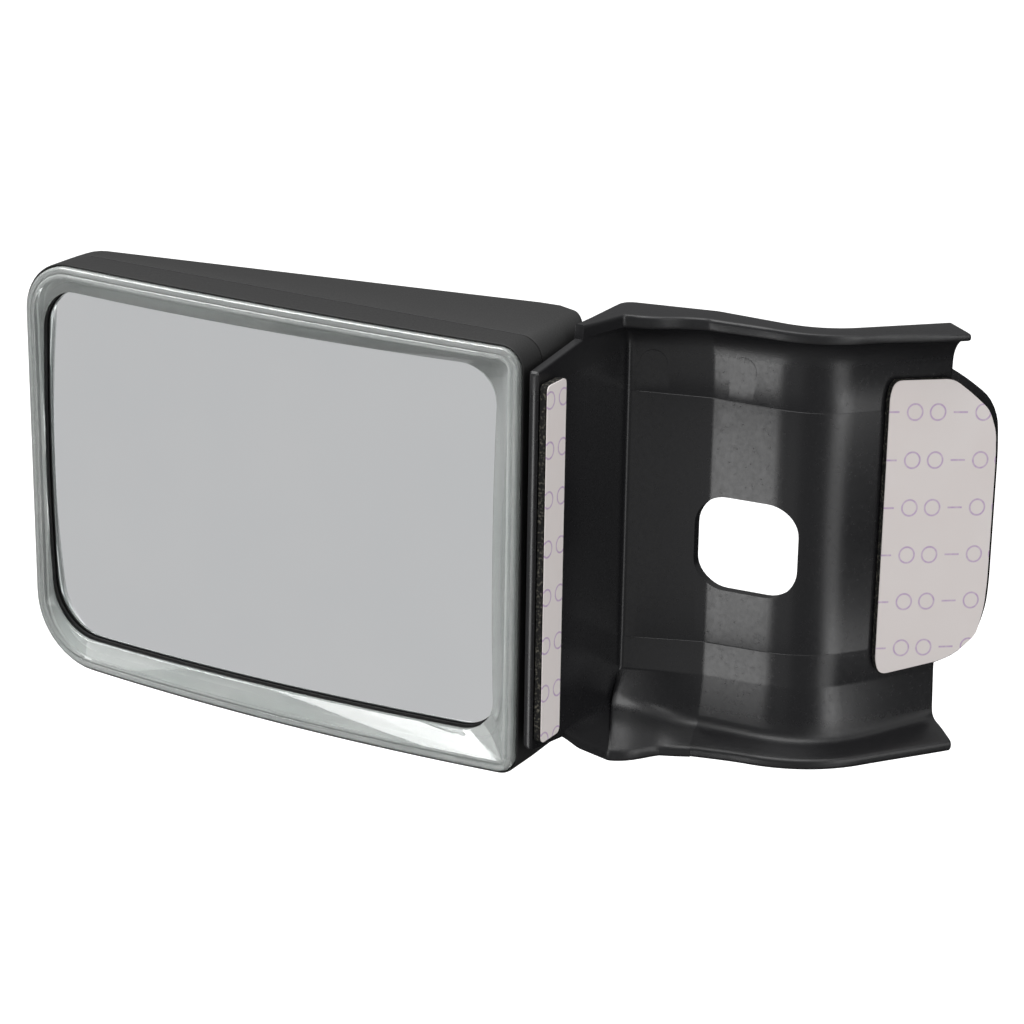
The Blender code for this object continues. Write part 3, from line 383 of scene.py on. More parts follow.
def mitred_corner():
    """Section on the mitre between side wall and back wall."""
    mitre = Vector((-WALL, WALL * (1 - math.sin(HEAD_1)) / math.cos(HEAD_1)))
    return section({
        "point": corner, "normal": Vector((0.7, -0.7)), "out": mitre,
        "roof": ROOF_CORNER, "skirt": SKIRT_CORNER, "fold": Vector((0, -FOLD_CORNER[0])),
        "fold_z": FOLD_CORNER[1], "low_wall": LEDGE_Z, "top": ROOF_Z, "lip": TOP_STEP_Z,
        "rim": SKIRT_RIM_Z, "rim_t": RIM_T, "drop": 0.0, "pinch": 0.0, "lean": 0.0})


def skin_rings(rings, closed=False):
    """A skin through rings of equal count, each extruded from the last; closed returns to the first."""
    bm = bmesh.new()
    ring = [bm.verts.new(point) for point in rings[0]]
    edges = [bm.edges.new((ring[k - 1], ring[k])) for k in range(len(ring))]
    first_edges = list(edges)
    first_ring = list(ring)
    for points in list(rings[1:]) + ([rings[0]] if closed else []):
        made = bmesh.ops.extrude_edge_only(bm, edges=edges)["geom"]
        fresh = {item for item in made if isinstance(item, bmesh.types.BMVert)}
        follower = {}
        for vert in fresh:
            for edge in vert.link_edges:
                other = edge.other_vert(vert)
                if other not in fresh:
                    follower[other] = vert
        ring = [follower[vert] for vert in ring]
        for vert, point in zip(ring, points):
            vert.co = point
        edges = [bm.edges.get((ring[k - 1], ring[k])) for k in range(len(ring))]
    if closed:
        bmesh.ops.remove_doubles(bm, verts=ring + first_ring, dist=0.001 * MM)
    else:
        bmesh.ops.triangle_fill(bm, use_beauty=True, use_dissolve=False, edges=first_edges)
        bmesh.ops.triangle_fill(bm, use_beauty=True, use_dissolve=False, edges=edges)
    bmesh.ops.recalc_face_normals(bm, faces=bm.faces)
    return bm


def settle(name, bm, material, angle=35):
    """A finished mesh, drawn about the head's middle, becomes an object at the origin."""
    bmesh.ops.translate(bm, vec=HEAD_MID, verts=bm.verts)
    data = bpy.data.meshes.new(name)
    bm.to_mesh(data)
    bm.free()
    data.materials.append(material)
    obj = bpy.data.objects.new(name, data)
    scene.collection.objects.link(obj)
    data.shade_smooth()
    data.set_sharp_from_angle(angle=math.radians(angle))
    return obj


def combine(obj, bm, operation):
    """Joins or cuts a shape drawn about the head's middle, and keeps the result as the object's mesh."""
    bmesh.ops.translate(bm, vec=HEAD_MID, verts=bm.verts)
    data = bpy.data.meshes.new("tool")
    bm.to_mesh(data)
    bm.free()
    tool = bpy.data.objects.new("tool", data)
    scene.collection.objects.link(tool)
    modifier = obj.modifiers.new("shape", "BOOLEAN")
    modifier.operation = operation
    modifier.solver = "EXACT"
    modifier.object = tool
    shaped = bpy.data.meshes.new_from_object(obj.evaluated_get(bpy.context.evaluated_depsgraph_get()))
    obj.modifiers.clear()
    old = obj.data
    obj.data = shaped
    bpy.data.meshes.remove(old)
    bpy.data.objects.remove(tool)
    bpy.data.meshes.remove(data)
    obj.data.name = obj.name


def bar(start, end, radius, sides=40, end_radius=None):
    """A round bar or cone between two points about the head's middle."""
    start, end = Vector(start), Vector(end)
    bm = bmesh.new()
    second = radius if end_radius is None else end_radius
    bmesh.ops.create_cone(bm, cap_ends=True, segments=sides, radius1=radius, radius2=second,
                          depth=(end - start).length)
    lie = Vector((0, 0, 1)).rotation_difference(end - start).to_matrix().to_4x4()
    bmesh.ops.transform(bm, matrix=Matrix.Translation((start + end) / 2) @ lie, verts=bm.verts)
    return bm


def rounded_outline(left, right, bottom, top, radii, side_steps=24, arc_steps=12):
    """Clockwise from the upper left, seen from the front: points (x, z) of a rounded rectangle."""
    corners = (((left, top), (1, -1), math.pi), ((right, top), (-1, -1), math.pi / 2),
               ((right, bottom), (-1, 1), 0.0), ((left, bottom), (1, 1), -math.pi / 2))
    arcs = []
    for (place_at, inward, start), radius in zip(corners, radii):
        middle = Vector((place_at[0] + inward[0] * radius, place_at[1] + inward[1] * radius))
        angles = [start - math.pi / 2 * k / arc_steps for k in range(arc_steps + 1)]
        arcs.append([middle + radius * heading(angle) for angle in angles])
    points = []
    for index, arc in enumerate(arcs):
        points += arc
        after = arcs[(index + 1) % 4][0]
        points += [arc[-1].lerp(after, k / side_steps) for k in range(1, side_steps)]
    return points


def plate(points, near, far, soft):
    """A plate on the flange from points (along it, z), with its edges rounded."""
    bm = bmesh.new()
    base = []
    for along, z in points:
        spot = bend_end + along * flange_dir + near * flange_normal
        base.append(bm.verts.new((spot.x, spot.y, z)))
    face = bm.faces.new(base)
    step = (far - near) * flange_normal
    made = bmesh.ops.extrude_face_region(bm, geom=[face])["geom"]
    moved = [item for item in made if isinstance(item, bmesh.types.BMVert)]
    bmesh.ops.translate(bm, vec=(step.x, step.y, 0), verts=moved)
    bmesh.ops.recalc_face_normals(bm, faces=bm.faces)
    rims = [e for e in bm.edges if all(len(f.verts) != 4 for f in e.link_faces) or
            any(len(f.verts) > 4 for f in e.link_faces)]
    bmesh.ops.bevel(bm, geom=rims, offset=soft, affect="EDGES", segments=3, profile=0.5, material=-1)
    return bm


def rounded_points(points, radius, steps):
    """Plan points (mm) with every corner rounded, in metres."""
    corners = [(Vector((a * MM, b * MM, 0)), radius, steps) for a, b in points]
    return [(p.x, p.y) for p in softened(corners)]


def black_abs():
    """Injection-moulded black ABS: satin where the tool is polished, grainy on roof and skirt."""
    material, tree, shader, own = new_material("moulded_abs_satin")
    shader.inputs["IOR"].default_value = 1.54
    split = add_node(tree, "ShaderNodeSeparateXYZ", links={0: own})
    # flow shading: broad, barely darker clouds left by the melt
    cloud = add_node(tree, "ShaderNodeTexNoise", values={"Scale": 22.0, "Detail": 3.0}, links={"Vector": own})
    tint = add_node(tree, "ShaderNodeMix", {"data_type": "RGBA"},
                    {6: linear("131315"), 7: linear("1b1b1d")}, {0: cloud.outputs["Fac"]})
    tree.links.new(tint.outputs[2], shader.inputs["Base Color"])
    # grain is about 0.4 mm, only above the roof's root and below the fold
    upper = add_node(tree, "ShaderNodeMapRange", values={1: 0.0435, 2: 0.0465, 3: 0.0, 4: 1.0},
                     links={0: split.outputs["Z"]})
    lower = add_node(tree, "ShaderNodeMapRange", values={1: -0.049, 2: -0.053, 3: 0.0, 4: 1.0},
                     links={0: split.outputs["Z"]})
    grainy = add_node(tree, "ShaderNodeMath", {"operation": "MAXIMUM"},
                      links={0: upper.outputs[0], 1: lower.outputs[0]})
    grain = add_node(tree, "ShaderNodeTexNoise", values={"Scale": 2400.0, "Detail": 2.0},
                     links={"Vector": own})
    fine = add_node(tree, "ShaderNodeTexNoise", values={"Scale": 900.0, "Detail": 4.0}, links={"Vector": own})
    rough = add_node(tree, "ShaderNodeMapRange", values={3: 0.24, 4: 0.36}, links={0: grainy.outputs[0]})
    uneven = add_node(tree, "ShaderNodeMapRange", values={1: 0.3, 2: 0.7, 3: -0.03, 4: 0.04},
                      links={0: fine.outputs["Fac"]})
    gloss = add_node(tree, "ShaderNodeMath", {"operation": "ADD"},
                     links={0: rough.outputs[0], 1: uneven.outputs[0]})
    tree.links.new(gloss.outputs[0], shader.inputs["Roughness"])
    strength = add_node(tree, "ShaderNodeMapRange", values={3: 0.015, 4: 0.20}, links={0: grainy.outputs[0]})
    bump = add_node(tree, "ShaderNodeBump", values={"Distance": 0.0002},
                    links={"Height": grain.outputs["Fac"], "Strength": strength.outputs[0]})
    tree.links.new(bump.outputs[0], shader.inputs["Normal"])
    return material


SATIN_ABS = black_abs()
rings = [side_wall(WALL_FRONT_Y + d, p) for d, p in ((0, 0.7 * MM), (0.12 * MM, 0.35 * MM), (0.7 * MM, 0.0))]
rings += [side_wall(y * MM) for y in (3, 6, 9, 12, 15, 16.7, 18.5, 20.5, 22.3)]
rings += [side_wall(ROOF_START_Y + 0.001 * MM), side_wall(25 * MM)]
rings += [side_wall(y * MM) for y in (27.5, 30, 32.5, 35, 37.5, 40, 42.5)]
after_corner = back_wall(corner + CORNER_SOFT * heading(HEAD_1), HEAD_1, CORNER_SOFT)
rings += rounded_turn(side_wall(CORNER_Y - CORNER_SOFT), mitred_corner(), after_corner, 5)
for k in range(1, 10):
    step = RUN_1 * k / 10
    rings.append(back_wall(corner + step * heading(HEAD_1), HEAD_1, step))
FACET = 0.8 * MM
before_facet = back_wall(run_1_end - FACET * heading(HEAD_1), HEAD_1, RUN_1 - FACET)
at_facet = back_wall(run_1_end, (HEAD_1 + HEAD_2) / 2, RUN_1)
after_facet = back_wall(run_1_end + FACET * heading(HEAD_2), HEAD_2, RUN_1 + FACET)
rings += rounded_turn(before_facet, at_facet, after_facet, 3)
for k in range(1, 9):
    step = RUN_2 * k / 8
    rings.append(back_wall(run_1_end + step * heading(HEAD_2), HEAD_2, RUN_1 + step))
BEND_STEPS = 18
for k in range(1, BEND_STEPS + 1):
    angle = HEAD_2 + (FLANGE_ANGLE - HEAD_2) * k / BEND_STEPS
    spot = bend_centre - BEND_R * heading(angle + math.pi / 2)
    rings.append(back_wall(spot, angle, RUN_1 + RUN_2 + BEND_R * (angle - HEAD_2)))
FLANGE_STEPS = ((4, 0), (8, 0), (12, 0), (16, 0), (20, 0), (23.5, 0), (25.8, 0), (26.35, 0.35), (26.5, 0.7))
for step, pinch in FLANGE_STEPS:
    spot = bend_end + step * MM * flange_dir
    rings.append(back_wall(spot, FLANGE_ANGLE, bend_s + step * MM, pinch * MM))
bracket = settle("bracket_moulding", skin_rings(rings), SATIN_ABS)
flange_end = plate(rounded_points(FLANGE_OUTLINE, 3 * MM, 3), FLANGE_SINK - WALL, -FLANGE_SINK, 0.45 * MM)
combine(bracket, flange_end, "UNION")

hole_mid = WALL_IN_X + HOLE_X
hole = rounded_outline(hole_mid - HOLE_W / 2, hole_mid + HOLE_W / 2, HOLE_Z - HOLE_H / 2,
                       HOLE_Z + HOLE_H / 2, [HOLE_R] * 4, side_steps=4, arc_steps=10)
hole_rings = [[Vector((p.x, CORNER_Y + y, p.y)) for p in hole] for y in (-5 * MM, 25 * MM)]
combine(bracket, skin_rings(hole_rings), "DIFFERENCE")

# ball and neck stand on the outer face of the side wall
BALL_IN = 9.4 * MM
BALL_R = 5.0 * MM
NECK_R = 2.8 * MM
HEAD_W = rim_high.x - rim_low.x
liner_low, liner_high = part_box("ball_liner")
BALL = (liner_low + liner_high) / 2 - HEAD_MID
BALL.x = HEAD_W / 2 - BALL_IN
neck_turn = math.asin(NECK_R / BALL_R)
BALL_STEPS = 20
profile = [(-BALL_R * math.cos(a), BALL_R * math.sin(a))
           for a in ((math.pi - neck_turn) * k / BALL_STEPS for k in range(BALL_STEPS + 1))]
root_x = WALL_OUT_X + 0.8 * MM - BALL.x
profile += [(root_x - 1.6 * MM, NECK_R), (root_x - 0.9 * MM, NECK_R + 0.4 * MM), (root_x, NECK_R + 1.0 * MM)]
profile.append((root_x, 0.0))
ball = bmesh.new()
spots = [ball.verts.new((BALL.x + along, BALL.y, BALL.z + radius)) for along, radius in profile]
spokes = [ball.edges.new(pair) for pair in zip(spots, spots[1:])]
bmesh.ops.spin(ball, geom=spots + spokes, cent=BALL, axis=(1, 0, 0), angle=math.tau, steps=40, use_merge=True)
bmesh.ops.remove_doubles(ball, verts=ball.verts, dist=0.001 * MM)
bmesh.ops.recalc_face_normals(ball, faces=ball.faces)
combine(bracket, ball, "UNION")

# witness rings of the ejector pins, above the upper crease: place along the wall, height, radius
PINS = ((6.5, 41.6, 3.6), (29.5, 41.8, 3.6))
rise = ROOF_ROOT_Z - CREASE_TOP_Z
slope = (CREASE_LEAN * rise + CREASE_STEP) / rise
for along, z, radius in PINS:
    if along < RUN_1 / MM:
        foot, angle = corner + along * MM * heading(HEAD_1), HEAD_1
    else:
        foot, angle = run_1_end + (along * MM - RUN_1) * heading(HEAD_2), HEAD_2
    facing = Vector((math.sin(angle), -math.cos(angle), 0))
    stand = slope * (z * MM - CREASE_TOP_Z) - CREASE_STEP
    middle = Vector((foot.x, foot.y, z * MM)) + facing * stand
    facing = Vector((facing.x, facing.y, -slope)).normalized()
    disc = bar(middle - 0.8 * MM * facing, middle + PIN_PROUD * facing, radius * MM, 48, (radius - 0.1) * MM)
    combine(bracket, disc, "UNION")

bracket.data.shade_smooth()
bracket.data.set_sharp_from_angle(angle=math.radians(28))
bracket_only.objects.link(bracket)
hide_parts("bracket")
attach(bracket, "bracket")

# ---- tapes ----
# Two die-cut pieces of black acrylic foam tape: a narrow strip on the side wall, a broad pad on the flange.
# Their cut edges show the cells; each still carries its release liner with rows of pale printed rings.
FOAM_T = 1.7 * MM
STRIP_ROUND = 1.6 * MM
PAD_ROUND = 2.2 * MM
CELL = 0.10 * MM                # how far the cut cells stand in and out
PAD_OUTLINE = (
    (9.4, 41.0), (25.6, 39.9), (30.6, 36.0), (36.2, 30.9), (38.4, 25.0), (38.8, 18.0),
    (38.8, -15.0), (38.4, -22.0), (36.6, -29.8), (31.0, -34.0), (26.6, -35.6), (9.6, -37.3),
    (8.1, -34.0), (8.1, 37.4))


def spaced(points, step):
    """Points at about equal steps along a closed outline."""
    outline = []
    for a, b in zip(points, points[1:] + points[:1]):
        a, b = Vector(a), Vector(b)
        count = max(1, round((b - a).length / step))
        outline += [a.lerp(b, k / count) for k in range(count)]
    return outline


def layer(outline, place_at, near, far, cells, layers):
    """A flat layer from its outline: place_at(u, v, depth) gives the spot; cells roughens the cut edge."""
    rings = []
    for k in range(layers + 1):
        depth = near + (far - near) * k / layers
        ring = []
        for u, v in outline:
            spot = place_at(u, v, depth)
            if cells:
                spot += cells * noise.noise_vector(spot / (0.45 * MM))
            ring.append(spot)
        rings.append(ring)
    return skin_rings(rings)


def strip_spot(y, z, depth):
    return Vector((WALL_IN_X + depth, y, z))


def pad_spot(along, z, depth):
    spot = bend_end + along * flange_dir + depth * flange_normal
    return Vector((spot.x, spot.y, z))


def foam():
    """Closed-cell acrylic foam, cut with a die: black, matt, with painted glints for cells that catch light.
    """
    material, tree, shader, own = new_material("acrylic_foam_cut")
    shader.inputs["Roughness"].default_value = 0.85
    # cells of about 0.5 mm
    cells = add_node(tree, "ShaderNodeTexVoronoi", values={"Scale": 2100.0}, links={"Vector": own})
    patch = add_node(tree, "ShaderNodeTexNoise", values={"Scale": 1500.0, "Detail": 3.0},
                     links={"Vector": own})
    # painted glints: pale patches in the base colour for the cells that catch light
    painted_glint = add_node(tree, "ShaderNodeMapRange", values={1: 0.52, 2: 0.72}, links={0: patch.outputs["Fac"]})
    tint = add_node(tree, "ShaderNodeMix", {"data_type": "RGBA"},
                    {6: linear("131312"), 7: linear("6b675c")}, {0: painted_glint.outputs[0]})
    tree.links.new(tint.outputs[2], shader.inputs["Base Color"])
    bump = add_node(tree, "ShaderNodeBump", values={"Strength": 0.8, "Distance": 0.0002},
                    links={"Height": cells.outputs["Distance"]})
    tree.links.new(bump.outputs[0], shader.inputs["Normal"])
    return material


def liner(name, turn_z, row_shift, paper_tone_and_painted_light):
    """Siliconised release paper: cream-white, dull, with rows of rings and short bars in pale violet."""
    ROW = 12.6 * MM
    RING_EVERY = 6.4 * MM
    RING_R = 2.1 * MM
    LINE = 0.30 * MM
    SLANT = 0.10
    material, tree, shader, own = new_material(name)
    flat = add_node(tree, "ShaderNodeMapping", {"vector_type": "TEXTURE"}, {"Rotation": (0, 0, turn_z)},
                    {0: own})
    split = add_node(tree, "ShaderNodeSeparateXYZ", links={0: flat.outputs[0]})

    # distances from the middle of a row, of a ring's cell, and of a group of three cells
    slanted = add_node(tree, "ShaderNodeMath", {"operation": "MULTIPLY_ADD"}, {1: SLANT},
                       {0: split.outputs["X"], 2: split.outputs["Z"]}).outputs[0]
    distances = []
    for value, period, shift in ((slanted, ROW, row_shift), (split.outputs["X"], RING_EVERY, 0.0),
                                 (split.outputs["X"], 3 * RING_EVERY, 0.0)):
        moved = add_node(tree, "ShaderNodeMath", {"operation": "ADD"}, {1: shift + 100 * period}, {0: value})
        cell = add_node(tree, "ShaderNodeMath", {"operation": "MODULO"}, {1: period}, {0: moved.outputs[0]})
        centred = add_node(tree, "ShaderNodeMath", {"operation": "SUBTRACT"}, {1: period / 2},
                           {0: cell.outputs[0]})
        distances.append(centred.outputs[0])
    down, sideways, gap_cell = distances
    spot = add_node(tree, "ShaderNodeCombineXYZ", links={0: sideways, 1: down})
    far = add_node(tree, "ShaderNodeVectorMath", {"operation": "LENGTH"}, links={0: spot.outputs[0]})
    off = add_node(tree, "ShaderNodeMath", {"operation": "SUBTRACT"}, {1: RING_R}, {0: far.outputs["Value"]})
    near = add_node(tree, "ShaderNodeMath", {"operation": "ABSOLUTE"}, links={0: off.outputs[0]})
    ring = add_node(tree, "ShaderNodeMapRange", values={1: LINE, 2: LINE * 0.5}, links={0: near.outputs[0]})
    beside = add_node(tree, "ShaderNodeMath", {"operation": "ABSOLUTE"}, links={0: gap_cell})
    kept = add_node(tree, "ShaderNodeMath", {"operation": "GREATER_THAN"}, {1: RING_EVERY / 2},
                    {0: beside.outputs[0]})
    rings = add_node(tree, "ShaderNodeMath", {"operation": "MULTIPLY"},
                     links={0: ring.outputs[0], 1: kept.outputs[0]})
    level = add_node(tree, "ShaderNodeMath", {"operation": "ABSOLUTE"}, links={0: down})
    bar = add_node(tree, "ShaderNodeMapRange", values={1: LINE, 2: LINE * 0.5}, links={0: level.outputs[0]})
    short = add_node(tree, "ShaderNodeMapRange", values={1: RING_R, 2: RING_R * 0.93},
                     links={0: beside.outputs[0]})
    bars = add_node(tree, "ShaderNodeMath", {"operation": "MULTIPLY"},
                    links={0: bar.outputs[0], 1: short.outputs[0]})
    print_mark = add_node(tree, "ShaderNodeMath", {"operation": "MAXIMUM"},
                          links={0: rings.outputs[0], 1: bars.outputs[0]})
    ink = add_node(tree, "ShaderNodeTexNoise", values={"Scale": 700.0}, links={"Vector": own})
    worn = add_node(tree, "ShaderNodeMapRange", values={1: 0.3, 2: 0.65, 3: 0.55, 4: 0.95},
                    links={0: ink.outputs["Fac"]})
    inked = add_node(tree, "ShaderNodeMath", {"operation": "MULTIPLY"},
                     links={0: print_mark.outputs[0], 1: worn.outputs[0]})
    cloud = add_node(tree, "ShaderNodeTexNoise", values={"Scale": 45.0, "Detail": 2.0}, links={"Vector": own})
    # the sheet's white is given per piece and carries painted light: the strip's is lifted more, for less
    # light on it
    sheet = add_node(tree, "ShaderNodeMix", {"data_type": "RGBA"},
                     {6: linear(paper_tone_and_painted_light), 7: linear("f4eeec")}, {0: cloud.outputs["Fac"]})
    printed = add_node(tree, "ShaderNodeMix", {"data_type": "RGBA"}, {7: linear("c6a8d0")},
                       {0: inked.outputs[0], 6: sheet.outputs[2]})
    tree.links.new(printed.outputs[2], shader.inputs["Base Color"])
    shader.inputs["Roughness"].default_value = 0.5
    crease = add_node(tree, "ShaderNodeTexNoise", values={"Scale": 120.0, "Detail": 2.0},
                      links={"Vector": own})
    bump = add_node(tree, "ShaderNodeBump", values={"Strength": 0.08, "Distance": 0.0003},
                    links={"Height": crease.outputs["Fac"]})
    tree.links.new(bump.outputs[0], shader.inputs["Normal"])
    return material


CUT_FOAM = foam()
strip_low, strip_high = [corner_at - HEAD_MID for corner_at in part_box("strip_foam")]
strip_points = [(strip_low.y, strip_high.z), (strip_high.y, strip_high.z),
                (strip_high.y, strip_low.z), (strip_low.y, strip_low.z)]
strip_points = rounded_points([(y / MM, z / MM) for y, z in strip_points], STRIP_ROUND, 4)
pad_points = rounded_points(PAD_OUTLINE, PAD_ROUND, 4)
# the strip's paper is a little lighter than the pad's: painted light that makes up for less light reaching
# the strip
TAPES = (
    ("strip", strip_points, strip_spot, math.pi / 2, 2.0 * MM, "f3eae7"),
    ("pad", pad_points, pad_spot, FLANGE_ANGLE, 3.4 * MM, "ece2df"))
for name, points, place_at, turned, row_shift, paper_tone_and_painted_light in TAPES:
    sponge = layer(spaced(points, 0.35 * MM), place_at, GLUE + CELL, GLUE + FOAM_T - CELL, CELL, 6)
    piece = settle(name + "_tape_foam", sponge, CUT_FOAM, 60)
    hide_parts(name + "_foam")
    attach(piece, "bracket")
    front = 2 * GLUE + FOAM_T
    film = layer(spaced(points, 1.5 * MM), place_at, front, front + GLUE, 0, 1)
    piece = settle(name + "_release_liner", film, liner(name + "_release_paper", turned, row_shift, paper_tone_and_painted_light))
    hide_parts(name + "_liner")
    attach(piece, "bracket")

# ---- ball liner and clamp ----
# A slotted shell of natural acetal between ball and jaws, two ABS jaws and two zinc-plated screws.
# The shell of the head hides them; they keep their solids.


def acetal():
    """Natural acetal, moulded: milky white with a waxy, slightly uneven gloss."""
    material, tree, shader, own = new_material("natural_acetal")
    shader.inputs["IOR"].default_value = 1.48
    shader.inputs["Subsurface Weight"].default_value = 0.15
    shader.inputs["Subsurface Scale"].default_value = 0.001
    cloud = add_node(tree, "ShaderNodeTexNoise", values={"Scale": 300.0}, links={"Vector": own})
    tint = add_node(tree, "ShaderNodeMix", {"data_type": "RGBA"},
                    {6: linear("d8d7cf"), 7: linear("e6e5df")}, {0: cloud.outputs["Fac"]})
    tree.links.new(tint.outputs[2], shader.inputs["Base Color"])
    gloss = add_node(tree, "ShaderNodeMapRange", values={3: 0.32, 4: 0.42}, links={0: cloud.outputs["Fac"]})
    tree.links.new(gloss.outputs[0], shader.inputs["Roughness"])
    return material


def zinc_steel():
    """Zinc-plated steel screw: bluish bright metal with fine drawn lines from cold heading."""
    material, tree, shader, own = new_material("zinc_plated_steel")
    shader.inputs["Metallic"].default_value = 1.0
    bloom = add_node(tree, "ShaderNodeTexNoise", values={"Scale": 900.0, "Detail": 3.0},
                     links={"Vector": own})
    tint = add_node(tree, "ShaderNodeMix", {"data_type": "RGBA"},
                    {6: linear("9fa5ab"), 7: linear("c3c6c7")}, {0: bloom.outputs["Fac"]})
    tree.links.new(tint.outputs[2], shader.inputs["Base Color"])
    gloss = add_node(tree, "ShaderNodeMapRange", values={3: 0.22, 4: 0.38}, links={0: bloom.outputs["Fac"]})
    tree.links.new(gloss.outputs[0], shader.inputs["Roughness"])
    return material


def matt_abs():
    """Injection-moulded black ABS from a finely spark-eroded tool: charcoal, dull, 0.4 mm grain."""
    material, tree, shader, own = new_material("moulded_abs_matt")
    shader.inputs["IOR"].default_value = 1.54
    cloud = add_node(tree, "ShaderNodeTexNoise", values={"Scale": 30.0, "Detail": 4.0}, links={"Vector": own})
    tint = add_node(tree, "ShaderNodeMix", {"data_type": "RGBA"},
                    {6: linear("1e1e1e"), 7: linear("262626")}, {0: cloud.outputs["Fac"]})
    tree.links.new(tint.outputs[2], shader.inputs["Base Color"])
    grain = add_node(tree, "ShaderNodeTexNoise", values={"Scale": 2600.0, "Detail": 2.0},
                     links={"Vector": own})
    gloss = add_node(tree, "ShaderNodeMapRange", values={1: 0.3, 2: 0.7, 3: 0.5, 4: 0.66},
                     links={0: grain.outputs["Fac"]})
    tree.links.new(gloss.outputs[0], shader.inputs["Roughness"])
    bump = add_node(tree, "ShaderNodeBump", values={"Strength": 0.25, "Distance": 0.00015},
                    links={"Height": grain.outputs["Fac"]})
    tree.links.new(bump.outputs[0], shader.inputs["Normal"])
    return material


def refinish(node, material):
    """A carried-over solid takes a better material."""
    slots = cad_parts[node].data.materials
    slots.clear()
    slots.append(material)


def screw_place(node):
    """A CAD screw about the head's middle: its axis in X and Z, and its two ends in Y."""
    ends = [end - HEAD_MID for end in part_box(node)]
    return (ends[0].x + ends[1].x) / 2, (ends[0].z + ends[1].z) / 2, ends[0].y, ends[1].y


ACETAL = acetal()
ZINC = zinc_steel()
MATT_ABS = matt_abs()
refinish("ball_liner", ACETAL)
for half in ("front", "back"):
    refinish(f"clamp_jaw_{half}", MATT_ABS)
SCREWS = [f"clamp_screw_{k}" for k in (1, 2)] + [f"housing_screw_{k}" for k in (1, 2, 3, 4)]
for node in SCREWS:
    refinish(node, ZINC)

# ---- rear shell ----
# The deep wedge of the housing, moulded in matt black ABS with 2.2 mm walls. Four screw tubes and the
# clamp's pad stand inside; the ball's neck enters through a round mouth in its side.
CORNERS = (14.0 * MM, 5.5 * MM, 4.5 * MM, 18.0 * MM)
EDGE_BOW = 1.2 * MM
FACE_BOW = 2.3 * MM
FRAME_PROUD = 0.7 * MM
GAP = 0.3 * MM
PARTING_Y = 10.2 * MM
SHELL_WALL = 2.2 * MM
SHELL_BACK_L = 16.6 * MM
SHELL_BACK_R = 44.0 * MM
SHELL_DRAFT = 0.02
SHELL_EDGE = 2.6 * MM
SHELL_EDGE_R = 14.0 * MM
MOUTH_R = 5.3 * MM


def head_outline(inset):
    """The head's outline, moved inwards, with the lower edge's slight sag."""
    radii = [max(r - inset, 0.6 * MM) for r in CORNERS]
    half_w = HEAD_W / 2 - inset
    half_h = HEAD_H / 2 - inset
    sagged = []
    for point in rounded_outline(-half_w, half_w, -half_h, half_h, radii):
        sag = EDGE_BOW * (1 - (2 * point.x / HEAD_W) ** 2) if point.y < 0 else 0.0
        sagged.append((point.x, point.y + sag * point.y / half_h))
    return sagged


def face_y(x):
    """Front surface of the rim: bowed forward in the middle."""
    return -FACE_BOW * (1 - (2 * x / HEAD_W) ** 2)


def at_face(outline, depth):
    return [Vector((x, face_y(x) + depth, z)) for x, z in outline]


def at_plane(outline, depth):
    return [Vector((x, depth, z)) for x, z in outline]


def back_y(x):
    """Outer back of the wedge."""
    return SHELL_BACK_L + (SHELL_BACK_R - SHELL_BACK_L) * (x + HEAD_W / 2) / HEAD_W


def plan_back(x, wall):
    """Back of the shell a wall's thickness in, with the deep corner rounded in plan."""
    round_x = HEAD_W / 2 + FRAME_PROUD - SHELL_EDGE_R
    if x <= round_x:
        return back_y(x) - wall
    radius = SHELL_EDGE_R - wall
    aside = min(x - round_x, radius)
    return back_y(round_x) - SHELL_EDGE_R + math.sqrt(radius * radius - aside * aside)


shell_y = PARTING_Y + GAP


def shell_loop(wall, angle):
    """A loop round the tapered side, a wall's thickness in, at one angle of the back edge's round."""
    edge = max(SHELL_EDGE - wall, 0.4 * MM)
    loop = []
    for x, z in head_outline(wall - FRAME_PROUD + edge * (1 - math.cos(angle))):
        y = max(plan_back(x, wall) - edge * (1 - math.sin(angle)), shell_y + 0.5 * MM)
        shrink = SHELL_DRAFT * (y - shell_y)
        loop.append(Vector((x * (1 - 2 * shrink / HEAD_W), y, z * (1 - 2 * shrink / HEAD_H))))
    return loop


def back_loop(wall, inset, scale=1.0):
    """A loop on the back face, moved in from the outline."""
    return [Vector((x * scale, plan_back(x * scale, wall), z * scale)) for x, z in head_outline(inset)]


EDGE_STEPS = 8
BACK_INSETS = [(13.4 - k) * MM for k in range(11)]
shell_rings = [back_loop(0.0, BACK_INSETS[0], scale) for scale in (0.3, 0.6, 0.85)]
shell_rings += [back_loop(0.0, inset) for inset in BACK_INSETS]
shell_rings += [shell_loop(0.0, math.pi / 2 * k / EDGE_STEPS) for k in range(EDGE_STEPS, -1, -1)]
shell_rings += [at_plane(head_outline(-FRAME_PROUD + inset), shell_y + up)
                for inset, up in ((0.0, 0.5 * MM), (0.15 * MM, 0.15 * MM), (0.5 * MM, 0.0))]
shell_rings += [at_plane(head_outline(SHELL_WALL - FRAME_PROUD), shell_y)]
shell_rings += [shell_loop(SHELL_WALL, angle) for angle in (0.0, math.pi / 4)]
shell_rings += [back_loop(SHELL_WALL, inset) for inset in (4.6 * MM, 6.6 * MM, 9.4 * MM)]
shell_rings += [back_loop(SHELL_WALL, BACK_INSETS[0], scale) for scale in (1.0, 0.85, 0.6, 0.3)]
rear_shell = settle("rear_housing", skin_rings(shell_rings), MATT_ABS)

